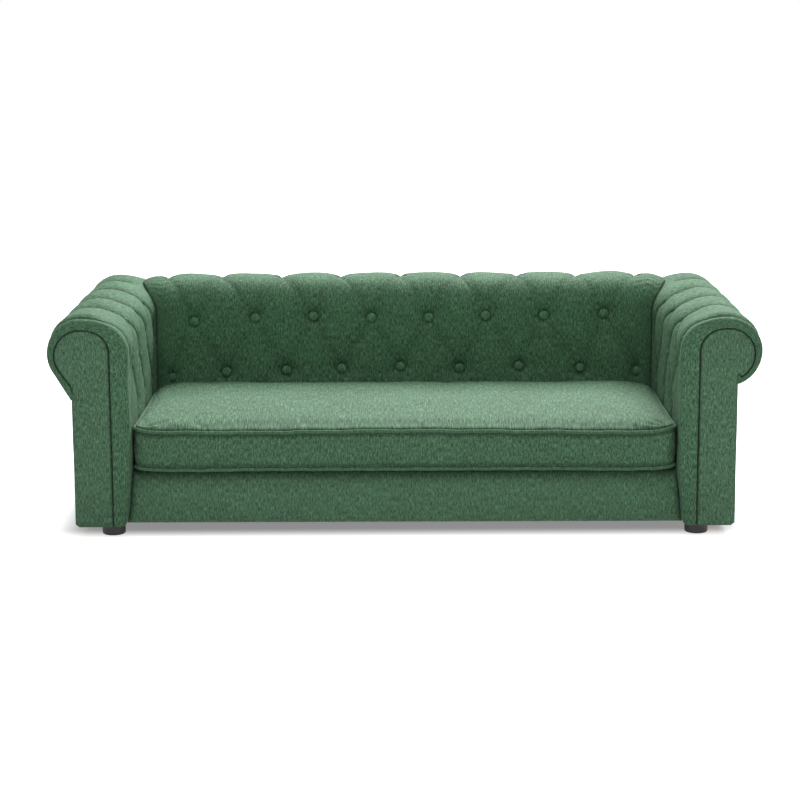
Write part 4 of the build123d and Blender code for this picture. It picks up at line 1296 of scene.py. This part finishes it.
def chenille_group():
    """Heathered chenille: soft slubs along the cloth, flecks, ribs and fuzz, with painted shade in creases, pockets
    and seams.
    """
    found = bpy.data.node_groups.get("chenille weave")
    if found:
        return found
    group, given, out = new_group(
        "chenille weave",
        [
            ("NodeSocketVector", "Cloth", None),
            ("NodeSocketColor", "Base", (0.1, 0.2, 0.1, 1)),
            ("NodeSocketColor", "Dark Fleck", (0.05, 0.1, 0.05, 1)),
            ("NodeSocketColor", "Light Fleck", (0.2, 0.3, 0.2, 1)),
            ("NodeSocketFloat", "Slub Share", 1.0),
            ("NodeSocketFloat", "Crease Shade", 0.6),
        ],
    )
    w = Wiring(group)
    cloth, slubs = given["Cloth"], given["Slub Share"]
    bend = w.noise(w.scaled(cloth, (45, 45, 0)), 1.0, 2, 0.5)
    placed = w.vector_maths("MULTIPLY_ADD", bend, (0.004, 0.004, 0), cloth)
    streaks = w.noise(w.scaled(placed, (460, 125, 0)), 1.0, 3, 0.62)
    flecks = w.noise(w.scaled(placed, (620, 230, 0)), 1.0, 2, 0.6)
    fuzz = w.noise(w.scaled(cloth, (1800, 1100, 0)), 1.0, 2, 0.6)
    broad = w.noise(w.scaled(cloth, (11, 11, 0)), 1.0, 2, 0.5)
    clumps = w.noise(w.scaled(placed, (190, 52, 0)), 1.0, 2, 0.5)
    dark = w.maths("MULTIPLY", w.between(streaks, 0.495, 0.405), w.between(flecks, 0.64, 0.46))
    light = w.maths("MULTIPLY", w.between(streaks, 0.505, 0.595), w.between(flecks, 0.40, 0.56))
    color = w.mixed(w.maths("MULTIPLY", dark, slubs), given["Base"], given["Dark Fleck"])
    color = w.mixed(w.maths("MULTIPLY", light, slubs), color, given["Light Fleck"])
    shade = w.maths("ADD", w.between(broad, 0.3, 0.7, 0.94, 1.05), w.between(fuzz, 0.3, 0.7, -0.13, 0.13))
    shade = w.maths("ADD", shade, w.between(clumps, 0.32, 0.68, -0.15, 0.15))
    tint = w.node("ShaderNodeCombineColor")
    for socket in tint.inputs[:3]:
        w.link(shade, socket)
    color = w.mixed(1.0, color, tint.outputs[0], "MULTIPLY")
    # Painted shade: the cloth attribute's third value darkens the colour in creases, pockets, seams and under the
    # cushion
    parts = w.node("ShaderNodeSeparateXYZ")
    w.link(cloth, parts.inputs[0])
    crease = w.maths("MULTIPLY", w.maths("MINIMUM", parts.outputs["Z"], 1.0), given["Crease Shade"])
    color = w.mixed(crease, color, w.mixed(1.0, color, (0.16, 0.22, 0.17, 1), "MULTIPLY"))
    w.link(color, out["Color"])
    w.link(w.between(fuzz, 0.3, 0.7, 0.66, 0.84), out["Roughness"])
    ribs = w.node("ShaderNodeTexWave", wave_type="BANDS", bands_direction="X", wave_profile="SIN")
    for label, value in (("Scale", 95.0), ("Distortion", 3.5), ("Detail", 2.0), ("Detail Scale", 1.5)):
        ribs.inputs[label].default_value = value
    w.link(placed, ribs.inputs["Vector"])
    height = w.maths("MULTIPLY", ribs.outputs["Fac"], 0.45)
    height = w.maths("MULTIPLY_ADD", streaks, 1.1, height)
    height = w.maths("MULTIPLY_ADD", fuzz, 0.5, height)
    w.link(height, out["Height"])
    return group


def emptied(owner):
    """Wiring for the emptied node tree of a material or a world."""
    owner.use_nodes = True
    owner.node_tree.nodes.clear()
    return Wiring(owner.node_tree)


def new_material(name):
    material = bpy.data.materials.new(name)
    w = emptied(material)
    shader = w.node("ShaderNodeBsdfPrincipled")
    output = w.node("ShaderNodeOutputMaterial")
    w.link(shader.outputs[0], output.inputs["Surface"])
    return material, w, shader


def add_bump(w, shader, height, strength, distance):
    bump = w.node("ShaderNodeBump")
    bump.inputs["Strength"].default_value = strength
    bump.inputs["Distance"].default_value = distance
    w.link(height, bump.inputs["Height"])
    w.link(bump.outputs[0], shader.inputs["Normal"])


CHENILLE_LOOKS = {
    # how much lighter the cloth is painted for this piece, share of slubs, bump distance, gloss, sheen
    "tufted": (1.02, 1.0, 0.0007, 0.32, 0.08),
    "panel": (1.0, 1.0, 0.0008, 0.50, 0.16),
    "button": (1.12, 0.8, 0.0005, 0.40, 0.14),
    "cushion": (1.0, 1.0, 0.0009, 0.40, 0.13),
    "piping": (1.00, 0.7, 0.0004, 0.30, 0.08),
    "base": (1.06, 1.0, 0.0006, 0.50, 0.16),
}


def chenille(look):
    """The cover cloth, as it is used for one kind of piece."""
    name = f"{look} chenille"
    found = bpy.data.materials.get(name)
    if found:
        return found
    painted_lightening, slubs, relief, gloss, sheen = CHENILLE_LOOKS[look]
    material, w, shader = new_material(name)
    place = w.node("ShaderNodeAttribute", attribute_name="cloth")
    weave = w.node("ShaderNodeGroup", node_tree=chenille_group())
    # How dark the painted shade may get
    weave.inputs["Crease Shade"].default_value = 0.75
    w.link(place.outputs["Vector"], weave.inputs["Cloth"])
    colours = {"Base": finish().chenille, "Dark Fleck": finish().dark_fleck, "Light Fleck": finish().light_fleck}
    for label, color in colours.items():
        # Painted light: some pieces get a lighter copy of the same cloth, the buttons most
        weave.inputs[label].default_value = (*(channel * painted_lightening for channel in color), 1)
    weave.inputs["Slub Share"].default_value = slubs
    w.link(weave.outputs["Color"], shader.inputs["Base Color"])
    w.link(weave.outputs["Roughness"], shader.inputs["Roughness"])
    shader.inputs["Specular IOR Level"].default_value = gloss
    shader.inputs["Sheen Weight"].default_value = sheen
    shader.inputs["Sheen Roughness"].default_value = 0.5
    shader.inputs["Sheen Tint"].default_value = (0.92, 1.0, 0.94, 1)
    add_bump(w, shader, weave.outputs["Height"], 1.0, relief)
    return material


def object_place(w):
    return w.node("ShaderNodeTexCoord").outputs["Object"]


def wood_group():
    """Sawn timber: long grain, pores and a few darker bands."""
    found = bpy.data.node_groups.get("wood grain")
    if found:
        return found
    group, given, out = new_group(
        "wood grain",
        [
            ("NodeSocketVector", "Place", None),
            ("NodeSocketColor", "Base", (0.6, 0.45, 0.3, 1)),
            ("NodeSocketColor", "Late Wood", (0.4, 0.27, 0.15, 1)),
        ],
    )
    w = Wiring(group)
    place = given["Place"]
    bands = w.noise(w.scaled(place, (12, 140, 140)), 1.0, 4, 0.55, 0.6)
    pores = w.noise(w.scaled(place, (60, 900, 900)), 1.0, 2, 0.5)
    share = w.maths("MULTIPLY", w.between(bands, 0.40, 0.66), 0.75)
    color = w.mixed(share, given["Base"], given["Late Wood"])
    dark = w.maths("MULTIPLY", w.between(pores, 0.55, 0.75), 0.35)
    color = w.mixed(dark, color, given["Late Wood"], "MULTIPLY")
    w.link(color, out["Color"])
    w.link(w.between(bands, 0.3, 0.7, 0.55, 0.75), out["Roughness"])
    w.link(w.maths("MULTIPLY_ADD", pores, 0.5, bands), out["Height"])
    return group


def wood_material(name, base, late):
    material, w, shader = new_material(name)
    grain = w.node("ShaderNodeGroup", node_tree=wood_group())
    w.link(object_place(w), grain.inputs["Place"])
    grain.inputs["Base"].default_value = (*base, 1)
    grain.inputs["Late Wood"].default_value = (*late, 1)
    w.link(grain.outputs["Color"], shader.inputs["Base Color"])
    w.link(grain.outputs["Roughness"], shader.inputs["Roughness"])
    add_bump(w, shader, grain.outputs["Height"], 0.6, 0.0004)
    return material


def speckled_material(name, base, other, scale, rough, relief, metal=0.0):
    """A fine-grained finish: fibre, non-woven cloth, foam, moulded plastic or plated steel."""
    material, w, shader = new_material(name)
    place = object_place(w)
    grain = w.noise(place, scale, 3, 0.6)
    wide = w.noise(place, scale * 0.06, 2, 0.5)
    mask = w.maths("MULTIPLY", w.between(grain, 0.38, 0.64), 0.6)
    color = w.mixed(mask, (*base, 1), (*other, 1))
    color = w.mixed(w.between(wide, 0.35, 0.7, 0.0, 0.35), color, (*(0.8 * c for c in base), 1))
    w.link(color, shader.inputs["Base Color"])
    w.link(w.between(grain, 0.3, 0.7, rough - 0.06, rough + 0.08), shader.inputs["Roughness"])
    shader.inputs["Metallic"].default_value = metal
    add_bump(w, shader, grain, 0.5, relief)
    return material


SPECKLED = {
    # colour, second colour, fineness of the grain, roughness, bump distance, and metal where it is one
    "cushion foam": ((0.80, 0.74, 0.56), (0.62, 0.55, 0.38), 700, 0.9, 0.0008),
    "zip tape": ((0.045, 0.13, 0.065), (0.08, 0.19, 0.10), 1500, 0.8, 0.0003),
    "zip coil": ((0.06, 0.16, 0.08), (0.07, 0.18, 0.09), 500, 0.35, 0.0001),
    "painted slider": ((0.05, 0.14, 0.07), (0.06, 0.16, 0.08), 300, 0.4, 0.00005),
    "dust cover": ((0.016, 0.016, 0.017), (0.032, 0.032, 0.033), 900, 0.9, 0.0003),
    "deck lining": ((0.020, 0.055, 0.030), (0.032, 0.080, 0.045), 1100, 0.9, 0.0003),
    "hardboard": ((0.16, 0.085, 0.040), (0.11, 0.055, 0.026), 900, 0.6, 0.0002),
    "zinc plate": ((0.50, 0.51, 0.52), (0.60, 0.61, 0.62), 400, 0.32, 0.00005, 1.0),
}


def speckled(name):
    return speckled_material(name, *SPECKLED[name])


# ------------------------------------------------------------------ sheets


def woven_sheet(node, z_side, sag, look, slot, seed):
    """A stapled sheet over or under a frame, with a turned hem and a slight sag between its staples."""
    low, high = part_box(node)
    cell, thickness = 0.012, 0.0009
    x = np.linspace(low.x, high.x, max(12, int((high.x - low.x) / cell)))
    y = np.linspace(low.y, high.y, max(8, int((high.y - low.y) / cell)))
    gx, gy = np.meshgrid(x, y, indexing="ij")
    edge = np.minimum(np.minimum(gx - low.x, high.x - gx), np.minimum(gy - low.y, high.y - gy))
    waves = 0.0004 * np.sin(gx * 95 + seed) * np.sin(gy * 110) * ramp(edge, 0.01)
    bag = sag * (1 - np.exp(-edge / 0.05)) + waves
    hem = 0.0005 * np.clip(1 - np.abs(edge - 0.006) / 0.006, 0, 1)
    face = high.z - 0.0002 + bag if z_side > 0 else low.z + 0.0002 - bag - hem
    outer = np.stack([gx, gy, face], -1)
    inner = outer.copy()
    inner[..., 2] -= z_side * thickness
    body, closed, _ = shell_between(outer, inner)
    piece = make_piece(f"{node}_sheet", body, closed, body[:, :2])
    dress(piece, look, FRAME_BODY, slot, node)


# ------------------------------------------------------------------ operators


class SOFA_OT_arms(bpy.types.Operator):
    """Builds both arms' tufted covers and their buttons."""

    bl_idname = "sofa.build_arms"
    bl_label = "Tufted arms"

    def execute(self, context):
        for side in (-1, 1):
            arm_pad(side)
        return {"FINISHED"}


class SOFA_OT_back(bpy.types.Operator):
    """Builds the back's tufted cover and its buttons."""

    bl_idname = "sofa.build_back"
    bl_label = "Tufted back"

    def execute(self, context):
        back_pad()
        return {"FINISHED"}


class SOFA_OT_panels(bpy.types.Operator):
    """Builds the arms' facings and the padded outer panels."""

    bl_idname = "sofa.build_panels"
    bl_label = "Facings and panels"

    def execute(self, context):
        for side in (-1, 1):
            name = side_name(side)
            for front in (True, False):
                facing(side, front)
            low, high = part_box(f"{name}_arm_outer_panel")
            inner = low.x if side > 0 else high.x
            flat_panel(
                f"{name}_arm_side_cover", (low.y, high.y, low.y, high.y, low.z, high.z),
                ((inner, 0, 0), (0, 1, 0), (0, 0, 1), (side, 0, 0)),
                thickness=0.0042, edge=0.0030, node=f"{name}_arm_outer_panel", look=chenille("panel"), seed=50 + side,
            )
            end_facing(side)
        low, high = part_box("back_rear_panel")
        flat_panel(
            "back_rear_cover", (low.x, high.x, low.x, high.x, low.z, high.z),
            ((0, low.y, 0), (1, 0, 0), (0, 0, 1), (0, 1, 0)),
            thickness=0.0042, edge=0.0030, node="back_rear_panel", look=chenille("panel"), seed=61,
        )
        return {"FINISHED"}


class SOFA_OT_base(bpy.types.Operator):
    """Builds the padded front of the base."""

    bl_idname = "sofa.build_base"
    bl_label = "Base front"

    def execute(self, context):
        low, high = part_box("base_front_pad")
        wide, narrow = high.x + 0.0008, ARM_FACE + 0.0005
        flat_panel(
            "base_front_cover", (-wide, wide, -narrow, narrow, low.z, high.z),
            ((0, high.y, 0), (1, 0, 0), (0, 0, 1), (0, -1, 0)),
            thickness=high.y - low.y - 0.0005, edge=0.0115, node="base_front_pad", look=chenille("base"), seed=91,
            slot="tufted_chenille", dome=0.0015, top_roll=0.55, pull=0.0, top_shade=0.85,
        )
        return {"FINISHED"}


class SOFA_OT_cushion(bpy.types.Operator):
    """Builds the loose seat cushion with its piping, foam and zip."""

    bl_idname = "sofa.build_cushion"
    bl_label = "Seat cushion"

    def execute(self, context):
        build_cushion()
        build_zip()
        return {"FINISHED"}


class SOFA_OT_linings(bpy.types.Operator):
    """Builds the deck cloth and the dust covers."""

    bl_idname = "sofa.build_linings"
    bl_label = "Linings"

    def execute(self, context):
        dust = speckled("dust cover")
        woven_sheet("base_dust_cover", -1, 0.0010, dust, "dust_cloth", 1)
        woven_sheet("back_dust_cover", -1, 0.0004, dust, "dust_cloth", 2)
        woven_sheet("deck_cloth", 1, -0.0001, speckled("deck lining"), "deck_cloth", 3)
        return {"FINISHED"}


class SOFA_OT_frame(bpy.types.Operator):
    """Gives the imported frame's boards, rails, feet and fasteners their finishes."""

    bl_idname = "sofa.finish_frame"
    bl_label = "Frame finishes"

    def execute(self, context):
        foot = (finish().foot, (0.028, 0.028, 0.030), 1600, 0.38, 0.00012)
        looks = {
            "plywood": wood_material("birch plywood", (0.56, 0.40, 0.23), (0.40, 0.26, 0.13)),
            "timber": wood_material("planed pine", (0.60, 0.42, 0.22), (0.42, 0.25, 0.11)),
            "hardboard": speckled("hardboard"),
            "foot_plastic": speckled_material("moulded foot", *foot),
            "zinc_steel": speckled("zinc plate"),
            "zip_metal": speckled("painted slider"),
        }
        for row in frame["record"]["subparts"]:
            look = looks.get(row["material_slot"])
            if look is None:
                continue
            node = frame["nodes"][row["node"]]
            node.data.materials.clear()
            node.data.materials.append(look)
        return {"FINISHED"}


class SOFA_OT_studio(bpy.types.Operator):
    """Sets up the floor, backdrop, lamps and camera."""

    bl_idname = "sofa.build_studio"
    bl_label = "Studio"

    def execute(self, context):
        build_floor()
        build_world()
        build_lamps()
        build_camera()
        return {"FINISHED"}


def build_floor():
    """A white floor, shaded near the sofa and open from below, so that the underside can be seen."""
    half = 12.0
    mesh = bpy.data.meshes.new("studio_floor")
    mesh.from_pydata([(-half, -half, 0), (half, -half, 0), (half, half, 0), (-half, half, 0)], [], [(0, 1, 2, 3)])
    floor = put_in_scene("studio_floor", mesh)
    material = bpy.data.materials.new("studio floor")
    w = emptied(material)
    output = w.node("ShaderNodeOutputMaterial")
    diffuse = w.node("ShaderNodeBsdfDiffuse")
    diffuse.inputs["Color"].default_value = (0.80, 0.80, 0.815, 1)
    glow = w.node("ShaderNodeEmission")
    glow.inputs["Color"].default_value = (1, 1, 1, 1)
    seen = w.seen()
    away = w.between(w.outside_of(object_place(w), (0.555, 0.190)), 0.0, 0.075, 0.26, 1.0)
    w.link(w.maths("MULTIPLY", seen, away), glow.inputs["Strength"])
    both = w.node("ShaderNodeAddShader")
    w.link(diffuse.outputs[0], both.inputs[0])
    w.link(glow.outputs[0], both.inputs[1])
    below = w.node("ShaderNodeMixShader")
    w.link(w.node("ShaderNodeNewGeometry").outputs["Backfacing"], below.inputs[0])
    w.link(both.outputs[0], below.inputs[1])
    w.link(w.node("ShaderNodeBsdfTransparent").outputs[0], below.inputs[2])
    w.link(below.outputs[0], output.inputs["Surface"])
    mesh.materials.append(material)


def build_world():
    world = bpy.data.worlds.new("studio")
    bpy.context.scene.world = world
    w = emptied(world)
    output = w.node("ShaderNodeOutputWorld")
    background = w.node("ShaderNodeBackground")
    w.link(w.mixed(w.seen(), (0.18, 0.18, 0.185, 1), (1, 1, 1, 1)), background.inputs["Color"])
    w.link(background.outputs[0], output.inputs["Surface"])


def add_lamp(name, place, aim, size, power):
    data = bpy.data.lights.new(name, "AREA")
    data.shape = "RECTANGLE"
    data.size, data.size_y = size
    data.energy = power
    lamp = put_in_scene(name, data)
    lamp.location = place
    lamp.rotation_euler = (Vector(aim) - Vector(place)).to_track_quat("-Z", "Y").to_euler()


def build_lamps():
    add_lamp("overhead_softbox", (0.80, 2.20, 3.0), (0, 0, 0.2), (2.8, 1.9), 200)
    add_lamp("high_fill", (-0.45, -1.50, 2.8), (0, 0, 0.2), (2.4, 1.2), 22)
    add_lamp("front_fill", (0.6, -3.2, 1.5), (0, 0, 0.25), (2.4, 1.6), 7)


def build_camera():
    data = bpy.data.cameras.new("photo_camera")
    data.sensor_width, data.lens = 36.0, 96.3
    camera = put_in_scene("photo_camera", data)
    camera.location = (-0.0054, -3.8069, 0.9394)
    camera.rotation_euler = (radians(78.86), 0.0035, 0)
    bpy.context.scene.camera = camera
    bpy.context.scene.view_settings.view_transform = "Standard"


OPERATORS = (
    SOFA_OT_arms,
    SOFA_OT_back,
    SOFA_OT_panels,
    SOFA_OT_base,
    SOFA_OT_cushion,
    SOFA_OT_linings,
    SOFA_OT_frame,
    SOFA_OT_studio,
)


class SOFA_PT_panel(bpy.types.Panel):
    """Lists the sofa's pieces, sizes and colours."""

    bl_label = "Dog Sofa"
    bl_idname = "SOFA_PT_panel"
    bl_space_type = "VIEW_3D"
    bl_region_type = "UI"
    bl_category = "Dog Sofa"

    def draw(self, context):
        layout = self.layout
        for group in (context.scene.sofa_sizes, context.scene.sofa_finish):
            box = layout.box()
            for name in group.bl_rna.properties.keys():
                if name not in ("rna_type", "name"):
                    box.prop(group, name)
        for operator in OPERATORS:
            layout.operator(operator.bl_idname, text=operator.bl_label)


CLASSES = (SofaSizes, SofaFinish, *OPERATORS, SOFA_PT_panel)


def register():
    for each in CLASSES:
        bpy.utils.register_class(each)
    bpy.types.Scene.sofa_sizes = bpy.props.PointerProperty(type=SofaSizes)
    bpy.types.Scene.sofa_finish = bpy.props.PointerProperty(type=SofaFinish)


def unregister():
    del bpy.types.Scene.sofa_finish
    del bpy.types.Scene.sofa_sizes
    for each in reversed(CLASSES):
        bpy.utils.unregister_class(each)


def main():
    register()
    bpy.ops.sofa.build_arms()
    bpy.ops.sofa.build_back()
    bpy.ops.sofa.build_panels()
    bpy.ops.sofa.build_base()
    bpy.ops.sofa.build_cushion()
    bpy.ops.sofa.build_linings()
    bpy.ops.sofa.finish_frame()
    bpy.ops.sofa.build_studio()


if __name__ == "__main__":
    main()
